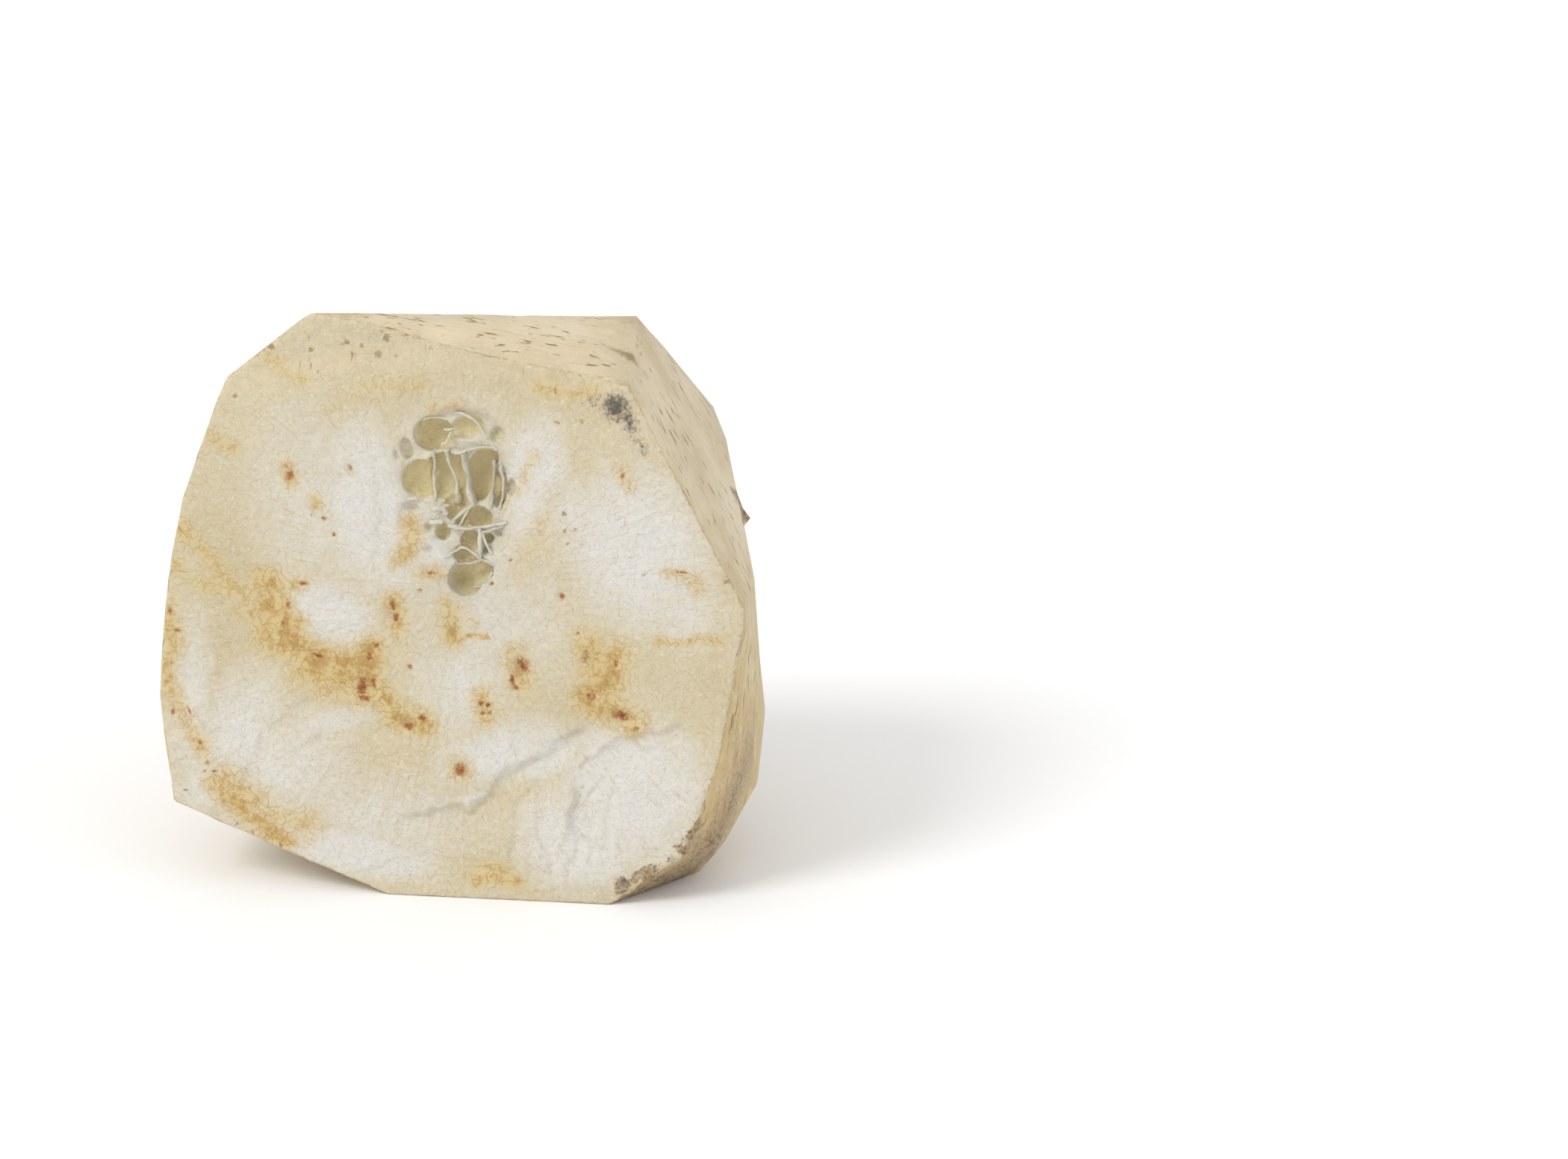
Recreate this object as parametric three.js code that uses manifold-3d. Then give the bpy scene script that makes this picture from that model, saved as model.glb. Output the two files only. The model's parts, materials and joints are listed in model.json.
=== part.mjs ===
// A peeled celeriac root, halved from top to bottom.
//
// Millimetres, +Z up. The root is one solid, because it grew as one piece. It starts as the
// round root, then a knife takes off its skin in long flat strokes, then one more stroke
// halves it. The cut face looks towards -Y and leans back a little, and the half stands on
// the flat that one of the strokes left. A hollow of torn pith opens in the cut face.
// The origin is the middle of the bounding box's bottom.

import * as THREE from 'three';
import { mergeVertices } from 'three/addons/utils/BufferGeometryUtils.js';
import Module from 'manifold-3d';

// The round root before peeling.
const ROOT_WIDTH = 156;
const ROOT_DEPTH = 136;
const ROOT_HEIGHT = 148;
const ROOT_SEGMENTS = 56;

// The halving cut: how far in front of the root's middle it runs, and its lean from upright.
const CUT_OFFSET = 17.7;
const CUT_LEAN = 8;

// The slice taken off below, whose flat the half stands on.
const FOOT_SLICE = 16;

// The other knife strokes. Each one looks out of the root at a turn from +X, anticlockwise
// from above, and at a rise from level, both in degrees. It takes off a slice of this depth.
const STROKES = [
  { name: 'top', turn: -42, rise: 75.6, slice: 20.7 },
  { name: 'upper right', turn: -1, rise: 28.6, slice: 23.7 },
  { name: 'right', turn: 0, rise: 0, slice: 19 },
  { name: 'right, behind', turn: 12, rise: 7, slice: 20.6 },
  { name: 'right, in front', turn: -16, rise: -7, slice: 16.1 },
  { name: 'right corner, in front', turn: -38, rise: -12, slice: 13.6 },
  { name: 'foot corner, in front', turn: -38, rise: -45, slice: 3.6 },
  { name: 'lower right', turn: 0, rise: -34, slice: 4.4 },
  { name: 'upper left corner', turn: 164, rise: 50, slice: 14.9 },
  { name: 'upper left', turn: 173, rise: 18.3, slice: 21.9 },
  { name: 'left, above the middle', turn: 174, rise: 7.6, slice: 23.3 },
  { name: 'left', turn: 174, rise: 2.8, slice: 22.8 },
  { name: 'left, below the middle', turn: 177, rise: -8.3, slice: 18.2 },
  { name: 'lower left', turn: -176, rise: -68.7, slice: 15.5 },
  { name: 'upper back, left', turn: 108, rise: 46, slice: 30 },
  { name: 'upper back, right', turn: 51, rise: 40.5, slice: 13.1 },
  { name: 'back', turn: 85, rise: 6, slice: 18.7 },
  { name: 'back left', turn: 138, rise: 2, slice: 25 },
  { name: 'back right', turn: 53, rise: -3, slice: 19 },
  { name: 'lower back', turn: 86, rise: -41, slice: 8 },
  { name: 'lower back, left', turn: 144, rise: -40, slice: 16 },
  { name: 'lower back, right', turn: 42, rise: -39, slice: 10 },
];

// The pockets of torn pith. Each is a round-bottomed hole in the cut face, placed across and
// up from the point of the face that is nearest the root's middle.
const PITH_POCKETS = [
  { across: -2.8, up: 24.8, wide: 15, tall: 12.5, deep: 11 },
  { across: 6.2, up: 25.8, wide: 8.5, tall: 13, deep: 9 },
  { across: -3.9, up: 33, wide: 8, tall: 8.5, deep: 9 },
  { across: 3.4, up: 34.9, wide: 8, tall: 6, deep: 5 },
  { across: 5.2, up: 16.7, wide: 9, tall: 5, deep: 6 },
  { across: 4.1, up: 4.8, wide: 8, tall: 9, deep: 8 },
];
const POCKET_SEGMENTS = 20;

const FLESH = { color: 0xece4cf, roughness: 0.62, metalness: 0 };

const wasm = await Module();
wasm.setup();

const degrees = THREE.MathUtils.degToRad;

function solidOf(geometry) {
  const bare = geometry.clone();
  bare.deleteAttribute('normal');
  bare.deleteAttribute('uv');
  const merged = mergeVertices(bare);
  return new wasm.Manifold(new wasm.Mesh({
    numProp: 3,
    vertProperties: new Float32Array(merged.attributes.position.array),
    triVerts: new Uint32Array(merged.index.array),
  }));
}

function geometryOf(solid) {
  const mesh = solid.getMesh();
  const geometry = new THREE.BufferGeometry();
  geometry.setAttribute('position', new THREE.BufferAttribute(mesh.vertProperties, 3));
  geometry.setIndex(new THREE.BufferAttribute(mesh.triVerts, 1));
  return geometry;
}

function roundRoot() {
  const root = new THREE.SphereGeometry(0.5, ROOT_SEGMENTS, ROOT_SEGMENTS / 2);
  return solidOf(root.scale(ROOT_WIDTH, ROOT_DEPTH, ROOT_HEIGHT));
}

function outward(turn, rise) {
  const level = Math.cos(degrees(rise));
  return new THREE.Vector3(
    level * Math.cos(degrees(turn)),
    level * Math.sin(degrees(turn)),
    Math.sin(degrees(rise)),
  );
}

// How far the round root reaches from its middle in one direction.
function reachOfRoot(direction) {
  const stretched = new THREE.Vector3(ROOT_WIDTH, ROOT_DEPTH, ROOT_HEIGHT);
  return stretched.multiply(direction).length() / 2;
}

// A block that covers all that lies further out than a flat at this distance.
function blockBeyond(direction, distance) {
  const size = 2 * Math.max(ROOT_WIDTH, ROOT_DEPTH, ROOT_HEIGHT);
  const block = new THREE.BoxGeometry(size, size, size);
  block.translate(0, 0, distance + size / 2);
  block.applyQuaternion(
    new THREE.Quaternion().setFromUnitVectors(new THREE.Vector3(0, 0, 1), direction),
  );
  return solidOf(block);
}

function sliced(solid, direction, slice) {
  return solid.subtract(blockBeyond(direction, reachOfRoot(direction) - slice));
}

function peeled(root) {
  let solid = sliced(root, new THREE.Vector3(0, 0, -1), FOOT_SLICE);
  for (const { turn, rise, slice } of STROKES) {
    solid = sliced(solid, outward(turn, rise), slice);
  }
  return solid;
}

const CUT_DIRECTION = outward(-90, CUT_LEAN);

// A pocket is half an egg: its widest section lies in the cut face.
function pithPocket({ across, up, wide, tall, deep }) {
  const egg = new THREE.SphereGeometry(0.5, POCKET_SEGMENTS, POCKET_SEGMENTS / 2);
  egg.scale(wide, 2 * deep, tall);
  egg.translate(across, -CUT_OFFSET, up);
  egg.rotateX(-degrees(CUT_LEAN));
  return solidOf(egg);
}

function halfRoot() {
  let solid = peeled(roundRoot());
  solid = solid.subtract(blockBeyond(CUT_DIRECTION, CUT_OFFSET));
  for (const pocket of PITH_POCKETS) {
    solid = solid.subtract(pithPocket(pocket));
  }
  return solid;
}

// Puts the middle of the bounding box's bottom at the origin.
function standing(geometry) {
  geometry.computeBoundingBox();
  const { min, max } = geometry.boundingBox;
  return geometry.translate(-(min.x + max.x) / 2, -(min.y + max.y) / 2, -min.z);
}

function part() {
  const flesh = new THREE.MeshStandardMaterial(FLESH);
  const root = new THREE.Mesh(standing(geometryOf(halfRoot())), flesh);
  root.name = 'celeriac_root';
  const group = new THREE.Group();
  group.add(root);
  return group;
}

export default part();
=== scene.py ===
# %% [markdown]
# # Half of a peeled celeriac root
#
# This lesson makes one raw vegetable: a celeriac root that was peeled with long knife
# strokes and then halved. It stands on a small flat, and its cut face looks at us. The
# cut face has the story in it: creamy flesh, whiter torn patches, rust-coloured marks
# and a hollow of spongy pith with fine white fibres across it.
#
# The steps are the ones a sculptor would take. We copy the plain solid, open the pith,
# turn the whole into a fine even skin of small faces, push those faces about as with a
# sculpting brush, and then say for each point how rusty, pale or spongy it is. One
# material reads these marks and breaks them up with fine noise.

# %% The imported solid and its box
import json
import math
import random

import bpy
import numpy as np
from mathutils import Matrix, Vector, kdtree, noise
from mathutils.bvhtree import BVHTree


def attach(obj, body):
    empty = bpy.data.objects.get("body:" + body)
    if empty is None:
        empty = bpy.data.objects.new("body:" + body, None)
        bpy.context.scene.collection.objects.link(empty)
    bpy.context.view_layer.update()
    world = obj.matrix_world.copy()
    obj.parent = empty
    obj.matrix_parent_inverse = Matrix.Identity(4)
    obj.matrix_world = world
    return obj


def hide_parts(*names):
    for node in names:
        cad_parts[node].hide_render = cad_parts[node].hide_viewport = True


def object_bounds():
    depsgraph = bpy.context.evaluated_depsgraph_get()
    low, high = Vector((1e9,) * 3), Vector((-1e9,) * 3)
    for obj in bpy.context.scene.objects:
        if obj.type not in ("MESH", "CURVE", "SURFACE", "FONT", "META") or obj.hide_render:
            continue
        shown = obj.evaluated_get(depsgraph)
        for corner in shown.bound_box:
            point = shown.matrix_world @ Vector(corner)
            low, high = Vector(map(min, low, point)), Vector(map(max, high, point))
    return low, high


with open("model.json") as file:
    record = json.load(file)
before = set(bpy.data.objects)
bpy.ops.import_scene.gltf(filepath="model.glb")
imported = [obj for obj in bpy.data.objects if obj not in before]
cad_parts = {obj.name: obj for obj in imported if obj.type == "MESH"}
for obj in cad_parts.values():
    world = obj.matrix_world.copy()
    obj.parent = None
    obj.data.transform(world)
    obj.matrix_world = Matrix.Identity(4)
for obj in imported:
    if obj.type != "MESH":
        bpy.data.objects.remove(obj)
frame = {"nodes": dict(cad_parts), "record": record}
cad_low, cad_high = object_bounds()
MM = 0.001
node_name = "celeriac_root"
print("the solid's box in mm:", [round(side / MM, 1) for side in cad_high - cad_low])

# %% [markdown]
# ## Where things lie on the cut face
#
# Every mark on the cut face is easiest to place as a cook would point to it: so far to
# the right, so far up from the foot and so deep in. The record says where the flat cut
# face is and which way it looks, so we build those three directions from it. A second
# set of directions follows the way the root grew, from its crown to its tail, because
# the brown dashes under the peel all run that way.

# %% The directions of the cut face
mounts = {mount["name"]: mount for mount in frame["record"]["mounts"]}
CUT_OUT = Vector(mounts["cut_face"]["axis"])
ACROSS = Vector((1, 0, 0))
UP = CUT_OUT.cross(ACROSS)
cut_point = Vector(mounts["cut_face"]["pos_m"])
CUT_FOOT = cut_point - UP * (cut_point.z / UP.z)
CUT_LEAN = math.atan2(UP.y, UP.z)


def on_cut(across, up, deep=0.0):
    """The place that lies so many mm across, up and deep from the foot of the cut face."""
    return CUT_FOOT + (ACROSS * across + UP * up - CUT_OUT * deep) * MM


def cut_places(points):
    """Across, up and deep in mm for an array of points in metres."""
    offset = (points - np.array(CUT_FOOT)) / MM
    across = offset @ np.array(ACROSS)
    up = offset @ np.array(UP)
    deep = -(offset @ np.array(CUT_OUT))
    return across, up, deep


ROOT_MIDDLE = (0.0, 61.0, 17.7)
print("foot of the cut face:", tuple(round(c, 4) for c in CUT_FOOT))
print("it leans back by", round(math.degrees(CUT_LEAN), 1), "degrees")

# %% [markdown]
# ## The camera
#
# The camera stands a metre and a half away with a long lens, a little to the right of
# the cut face and 20 degrees above it, so that the face looks nearly flat on and the
# peeled flats on the right still show. It aims past the root, which therefore stands in
# the left half of the picture.

# %% The camera
VIEW_TURN = 7
VIEW_RISE = 20
VIEW_DISTANCE = 1.5
VIEW_WIDTH = 0.311
SENSOR = 36
box_middle = (cad_low + cad_high) / 2
aim = box_middle + Vector((0.0655, -0.0225, 0.0058))


def direction(turn, rise):
    """The way from the object to a viewer or a lamp: turn 0 is in front, along -Y."""
    turn = math.radians(turn)
    rise = math.radians(rise)
    return Vector((math.sin(turn) * math.cos(rise), -math.cos(turn) * math.cos(rise), math.sin(rise)))


bpy.ops.object.camera_add()
camera = bpy.context.object
camera.data.sensor_width = SENSOR
camera.data.lens = SENSOR * VIEW_DISTANCE / VIEW_WIDTH
camera.data.clip_start = 0.05
camera.data.clip_end = 50
camera.location = aim + direction(VIEW_TURN, VIEW_RISE) * VIEW_DISTANCE
camera.rotation_euler = direction(VIEW_TURN, VIEW_RISE).to_track_quat("Z", "Y").to_euler()
bpy.context.scene.camera = camera
print("lens:", round(camera.data.lens, 1), "mm")

# %% [markdown]
# ## The floor and the light
#
# A vegetable on white needs soft light from everywhere and one stronger light that gives
# it shape. A sun with a very wide disc, high on the left and in front, does that, and it
# lights the floor evenly far out. The plain view transform keeps a white floor white.

# %% The floor, the suns and the sky
SUNS = (
    # name, turn, rise, width of the disc in degrees, strength
    ("key", -48, 44, 24, 1.30),
    ("fill", 60, 24, 60, 0.18),
)
SKY = 0.86


def node_in(tree, kind, **values):
    """A shader node of that kind, with the named inputs set or joined."""
    made = tree.nodes.new(kind)
    for name, value in values.items():
        put(tree, made.inputs[name.replace("_", " ")], value)
    return made


def put(tree, socket, value):
    """Gives a socket its value, or joins it to the output it should follow."""
    if isinstance(value, bpy.types.NodeSocket):
        tree.links.new(value, socket)
    else:
        socket.default_value = value


def plain_material(name, shade, roughness):
    """A material of one flat shade, for the floor only."""
    material = bpy.data.materials.new(name)
    material.use_nodes = True
    shader = material.node_tree.nodes["Principled BSDF"]
    shader.inputs["Base Color"].default_value = (shade, shade, shade, 1)
    shader.inputs["Roughness"].default_value = roughness
    return material


bpy.ops.object.select_all(action="DESELECT")
bpy.ops.mesh.primitive_plane_add(size=12)
floor = bpy.context.object
floor.name = "floor"
floor.data.materials.append(plain_material("pale_floor", 0.92, 0.9))
for sun_name, turn, rise, disc, strength in SUNS:
    bpy.ops.object.light_add(type="SUN", location=box_middle + direction(turn, rise))
    sun = bpy.context.object
    sun.name = sun_name
    sun.data.angle = math.radians(disc)
    sun.data.energy = strength
    sun.rotation_euler = direction(turn, rise).to_track_quat("Z", "Y").to_euler()
world = bpy.data.worlds.new("white_room")
world.use_nodes = True
world.node_tree.nodes["Background"].inputs["Color"].default_value = (1.0, 1.0, 1.0, 1)
world.node_tree.nodes["Background"].inputs["Strength"].default_value = SKY
bpy.context.scene.world = world
bpy.context.scene.view_settings.view_transform = "Standard"
print("suns:", [sun_row[0] for sun_row in SUNS])

# %% [markdown]
# ## The flesh, before it is sculpted
#
# The real thing is one lump of flesh, so we start from a copy of the solid that was
# already cut to size. Its corners are loose triangles, and merging them by distance
# makes one closed skin of them. The copy gets its own object: the solid itself must
# stay as it is.

# %% A closed copy of the solid
VOXEL = 0.38 * MM


def only(thing):
    """Selects one object and makes it the active one."""
    bpy.ops.object.select_all(action="DESELECT")
    thing.select_set(True)
    bpy.context.view_layer.objects.active = thing


def whole_mesh_edit(thing, operator, **settings):
    """Runs one edit-mode operator on everything in a mesh."""
    only(thing)
    bpy.ops.object.mode_set(mode="EDIT")
    bpy.ops.mesh.select_all(action="SELECT")
    operator(**settings)
    bpy.ops.object.mode_set(mode="OBJECT")


flesh = bpy.data.objects.new("peeled_root_half", frame["nodes"][node_name].data.copy())
bpy.context.scene.collection.objects.link(flesh)
only(flesh)
bpy.ops.mesh.customdata_custom_splitnormals_clear()
flesh.data.materials.clear()
whole_mesh_edit(flesh, bpy.ops.mesh.remove_doubles, threshold=0.01 * MM)
print("merged solid:", len(flesh.data.vertices), "points")

# %% [markdown]
# ## The edges the knife left
#
# Two flats meet in an edge that is sharp but never perfect. Later steps need to know
# how far each point is from such an edge: flats swell a little towards their middle,
# and the brown of the peel stays on the edges longest. So we walk along every edge of
# the merged solid where the faces turn by more than 9 degrees, drop a point each 0.8 mm
# or less, and keep them in a tree that finds the nearest one fast.

# %% A tree of points along the knife edges
EDGE_TURN = math.radians(9)
EDGE_STEP = 0.8 * MM
PITH_SIDE = 18
PITH_LOW = 55
PITH_HIGH = 104
PITH_BACK = 25


def knife_edges(mesh):
    """Points along each edge of a mesh where two flats meet."""
    normals = {}
    for face in mesh.polygons:
        for key in face.edge_keys:
            normals.setdefault(key, []).append(face.normal)
    found = []
    for (first, last), sides in normals.items():
        if len(sides) == 2 and sides[0].angle(sides[1], 0) > EDGE_TURN:
            start = mesh.vertices[first].co
            end = mesh.vertices[last].co
            steps = max(1, int((end - start).length / EDGE_STEP))
            found += [start.lerp(end, step / steps) for step in range(steps + 1)]
    return found


def outside_hollow(point):
    """True where a point lies on the outer skin and not in the pith."""
    across, up, deep = (float(v[0]) for v in cut_places(np.array([point])))
    return deep > PITH_BACK or abs(across) > PITH_SIDE or not PITH_LOW < up < PITH_HIGH


edge_points = [point for point in knife_edges(flesh.data) if outside_hollow(point)]
edge_tree = kdtree.KDTree(len(edge_points))
for index, point in enumerate(edge_points):
    edge_tree.insert(point, index)
edge_tree.balance()
flat_tree = BVHTree.FromObject(flesh, bpy.context.evaluated_depsgraph_get())
print("points along knife edges:", len(edge_points))

# %% [markdown]
# ## The pith
#
# In the middle of a large celeriac the flesh turns to sponge, and the knife tears it
# open. What shows is a group of rounded pockets with thin walls between them, like
# bubbles in bread. The walls come for free if the pockets are cut one by one out of
# solid flesh, so the plain pockets of the copy are first filled with a plug, and then
# balls of many sizes, each pressed into an oval, are cut away in a single boolean.

# %% The plug and the pockets
PLUG = (0.0, 83.0, 31.0, 46.0, 15.0)
PLUG_SKIN = 0.02
POCKET_LIP = 0.15
POCKETS = (
    # across, up, wide, tall, deep, turn
    (-3.8, 94.0, 7.8, 7.6, 4.8, 0),
    (2.9, 95.6, 6.8, 4.6, 2.2, -18),
    (9.0, 94.2, 3.2, 4.0, 1.5, 0),
    (-9.1, 91.0, 2.4, 5.0, 1.7, -10),
    (-11.2, 89.6, 1.3, 3.2, 0.9, -16),
    (-6.4, 84.8, 7.4, 7.8, 4.0, 0),
    (-1.6, 85.6, 8.8, 9.6, 5.4, 0),
    (0.9, 85.0, 4.4, 9.8, 5.2, 6),
    (1.1, 79.8, 5.4, 7.2, 4.8, 12),
    (5.4, 85.8, 5.8, 10.8, 5.2, 8),
    (7.5, 89.8, 3.4, 4.2, 3.4, 0),
    (9.4, 83.4, 3.3, 7.2, 2.8, 4),
    (11.9, 84.1, 1.9, 3.8, 1.3, 6),
    (5.3, 77.6, 6.0, 4.6, 3.2, 10),
    (1.8, 76.0, 2.2, 2.2, 1.9, 25),
    (-1.8, 74.5, 3.1, 3.7, 2.1, 0),
    (-4.6, 75.2, 1.9, 2.2, 1.1, 20),
    (3.8, 72.9, 4.2, 4.2, 3.4, 0),
    (7.4, 73.4, 2.1, 2.2, 1.7, 20),
    (9.4, 74.6, 2.3, 1.2, 1.1, 25),
    (6.9, 71.1, 1.9, 1.5, 1.3, -30),
    (2.5, 70.0, 4.4, 3.6, 4.0, 12),
    (4.6, 67.0, 8.2, 6.0, 4.4, 0),
    (3.0, 65.2, 7.2, 7.4, 4.4, 0),
    (-8.2, 79.1, 3.8, 2.0, 1.0, 8),
    (-4.5, 70.9, 2.3, 1.5, 0.9, 0),
)


def ball(place, sizes, turn):
    """A ball pressed into an oval whose sides lie across, up and into the cut face."""
    bpy.ops.object.select_all(action="DESELECT")
    bpy.ops.mesh.primitive_ico_sphere_add(subdivisions=3, radius=0.5, location=place)
    made = bpy.context.object
    made.scale = [size * MM for size in (sizes[0], sizes[2], sizes[1])]
    lean = Matrix.Rotation(-CUT_LEAN, 4, "X")
    spin = Matrix.Rotation(math.radians(turn), 4, "Y")
    made.rotation_euler = (lean @ spin).to_euler()
    bpy.ops.object.transform_apply(location=True, rotation=True, scale=True)
    return made


def joined(things):
    """Joins objects into the first of them."""
    bpy.ops.object.select_all(action="DESELECT")
    for thing in things:
        thing.select_set(True)
    bpy.context.view_layer.objects.active = things[0]
    bpy.ops.object.join()
    return things[0]


def boolean(thing, tool, operation):
    """Joins or cuts a mesh with a tool that may cross itself, and takes the tool away."""
    only(thing)
    step = thing.modifiers.new("boolean", "BOOLEAN")
    step.object = tool
    step.operation = operation
    step.solver = "EXACT"
    step.use_self = True
    bpy.ops.object.modifier_apply(modifier=step.name)
    bpy.data.objects.remove(tool)


plug_across, plug_up, plug_wide, plug_tall, plug_deep = PLUG
bpy.ops.object.select_all(action="DESELECT")
plug_place = on_cut(plug_across, plug_up, plug_deep / 2 + PLUG_SKIN)
bpy.ops.mesh.primitive_cylinder_add(vertices=40, radius=0.5, depth=1, location=plug_place)
plug = bpy.context.object
plug.scale = (plug_wide * MM, plug_tall * MM, plug_deep * MM)
plug.rotation_euler = (math.pi / 2 - CUT_LEAN, 0, 0)
bpy.ops.object.transform_apply(location=True, rotation=True, scale=True)
boolean(flesh, plug, "UNION")

cutters = []
for across, up, wide, tall, deep, turn in POCKETS:
    middle = on_cut(across, up, deep * POCKET_LIP)
    depth = deep * (1 - POCKET_LIP) * 2
    cutters.append(ball(middle, (wide, tall, depth), turn))
boolean(flesh, joined(cutters), "DIFFERENCE")
print("pockets cut:", len(POCKETS), "->", len(flesh.data.polygons), "faces")

# %% [markdown]
# ## Thick strands in the pith
#
# Some walls have torn to strands most of a millimetre thick. They grow out of the flesh
# at both ends, so they are laid in now as short curves, and the remesh that follows
# melts them into the flesh. Finer fibres and films wait until later, because a remesh
# would lose them. Both are curves with an oval profile: drawn flat, with the profile
# kept upright, so that the long side of the oval always looks into the flesh, as a torn
# film does.

# %% Curves for strands and fibres
UNEVEN = 0.45
THICK_STRANDS = (
    # thickness, depth of its section, then places across, up, deep
    (0.7, 1.8, ((-7.6, 89.0, 1.4), (-4.4, 90.0, 1.0), (-1.5, 91.2, 1.0), (0.8, 90.6, 1.2))),
    (0.8, 1.4, ((-1.0, 75.7, 1.2), (1.6, 77.8, 0.8), (3.3, 79.9, 0.8), (5.8, 80.6, 1.3))),
)


def strand(places, thickness, depth, tip):
    """A closed strand through places across, up and deep; tip scales its two ends."""
    bpy.ops.object.select_all(action="DESELECT")
    bpy.ops.curve.primitive_bezier_circle_add(radius=0.5)
    profile = bpy.context.object
    profile.scale = (thickness * MM, depth * MM, 1)
    profile.data.resolution_u = 2
    bpy.ops.object.transform_apply(scale=True)
    curve = bpy.data.curves.new("strand", "CURVE")
    curve.dimensions = "3D"
    curve.twist_mode = "Z_UP"
    curve.bevel_mode = "OBJECT"
    curve.bevel_object = profile
    curve.resolution_u = 6
    curve.use_fill_caps = True
    spline = curve.splines.new("NURBS")
    spline.points.add(len(places) - 1)
    spline.order_u = 4
    spline.use_endpoint_u = True
    for index, (across, up, deep) in enumerate(places):
        spline.points[index].co = (across * MM, up * MM, -deep * MM, 1)
        spline.points[index].radius = 1 + UNEVEN * math.sin(index * 2.4 + across * 3)
    spline.points[0].radius = tip
    spline.points[-1].radius = tip
    made = bpy.data.objects.new("strand", curve)
    bpy.context.scene.collection.objects.link(made)
    only(made)
    bpy.ops.object.convert(target="MESH")
    made = bpy.context.object
    turned = Matrix((ACROSS, UP, CUT_OUT)).transposed().to_4x4()
    made.data.transform(Matrix.Translation(CUT_FOOT) @ turned)
    bpy.data.objects.remove(profile)
    return made


thick = [strand(places, thickness, depth, 1.4) for thickness, depth, places in THICK_STRANDS]
flesh = joined([flesh, *thick])
print("thick strands:", len(thick))

# %% [markdown]
# ## One fine skin
#
# A voxel remesh wraps everything, flesh and strands, in one closed skin of small even
# squares, which is what sculpting needs. The squares are under half a millimetre, so
# knife edges stay crisp. Three gentle smoothing passes take away the steps that a remesh
# leaves on leaning flats.

# %% The remesh
flesh.name = "peeled_root_half"
only(flesh)
remesh = flesh.modifiers.new("skin", "REMESH")
remesh.mode = "VOXEL"
remesh.voxel_size = VOXEL
bpy.ops.object.modifier_apply(modifier=remesh.name)
smooth = flesh.modifiers.new("smooth", "SMOOTH")
smooth.factor = 0.5
smooth.iterations = 3
bpy.ops.object.modifier_apply(modifier=smooth.name)
print("fine skin:", len(flesh.data.vertices), "points")

# %% [markdown]
# ## Sculpting by rule
#
# A sculptor would now push the skin about with brushes. We do the same with short
# functions: each looks at where every point lies and says how far to push it along its
# own normal. Three helpers do most of the work: lumpy noise of a chosen size, the
# distance to a given path, and how far a point is inside an oval.

# %% Helpers for brushes
WIDE_PULL = 50.0
LONG_PULL = 60.0
SAME_WAY = 0.98


def read_points(mesh):
    """All points of a mesh as an array in metres."""
    flat = np.empty(len(mesh.vertices) * 3)
    mesh.vertices.foreach_get("co", flat)
    return flat.reshape(-1, 3)


def read_normals(mesh):
    """The normal at every point of a mesh."""
    flat = np.empty(len(mesh.vertices) * 3)
    mesh.vertex_normals.foreach_get("vector", flat)
    return flat.reshape(-1, 3)


def write_points(mesh, points):
    """Puts changed points back into a mesh."""
    mesh.vertices.foreach_set("co", points.ravel())
    mesh.update()


def ease(value, low, high):
    """0 below low, 1 above high and a soft ramp between them."""
    ramp = np.clip((value - low) / (high - low), 0, 1)
    return ramp * ramp * (3 - 2 * ramp)


def lumps(places, size, seed):
    """Smooth noise from about -1 to 1 whose lumps are about `size` across."""
    shift = Vector((seed * 7.3, seed * 3.1, seed * 5.7))
    scaled = places / size
    return np.array([noise.noise(Vector(place) + shift) for place in scaled.tolist()])


def path_distance(places, path):
    """How far each place is from a path of straight stretches."""
    best = np.full(len(places), 1e9)
    for start, end in zip(path[:-1], path[1:]):
        start = np.array(start, float)
        run = np.array(end, float) - start
        share = np.clip((places - start) @ run / (run @ run), 0, 1)
        best = np.minimum(best, np.linalg.norm(places - start - share[:, None] * run, axis=1))
    return best


def oval(across, up, spot_across, spot_up, wide, tall, turn=0.0):
    """1 in the middle of an oval spot, 0 at its rim and beyond."""
    turn = math.radians(turn)
    east = across - spot_across
    north = up - spot_up
    along = (east * math.cos(turn) + north * math.sin(turn)) / (wide / 2)
    aside = (north * math.cos(turn) - east * math.sin(turn)) / (tall / 2)
    return np.clip(1 - np.sqrt(along**2 + aside**2), 0, 1)


def growth(across, up, deep):
    """Places stretched along the way the root grew, so that noise on them makes streaks."""
    east = across - ROOT_MIDDLE[0]
    north = up - ROOT_MIDDLE[1]
    back = deep - ROOT_MIDDLE[2]
    flat_reach = np.hypot(east, back) + 0.001
    rise = np.arctan2(north, flat_reach)
    wide = WIDE_PULL / flat_reach
    return np.stack([east * wide, back * wide, rise * LONG_PULL], axis=1)


def by_cut(points):
    """1 for each point whose nearest flat of the plain solid is the cut face, else 0."""
    facing = np.array([flat_tree.find_nearest(point)[1].dot(CUT_OUT) for point in points.tolist()])
    return (facing > SAME_WAY).astype(float)


def knife_distance(points):
    """How many mm each point is from the nearest knife edge."""
    return np.array([edge_tree.find(point)[2] for point in points.tolist()]) / MM


print("brush helpers are ready")

# %% [markdown]
# ## The knife's flats
#
# A peeling stroke never leaves a true plane: the blade rocks, so a flat swells towards
# its middle and waves a little, and its edges are softly broken. The swelling is about
# a millimetre, and it is what makes the light change across a flat. Round the pith the
# flesh stays level. The front edge of the crown's flat is worn rounder than the others.

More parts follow.
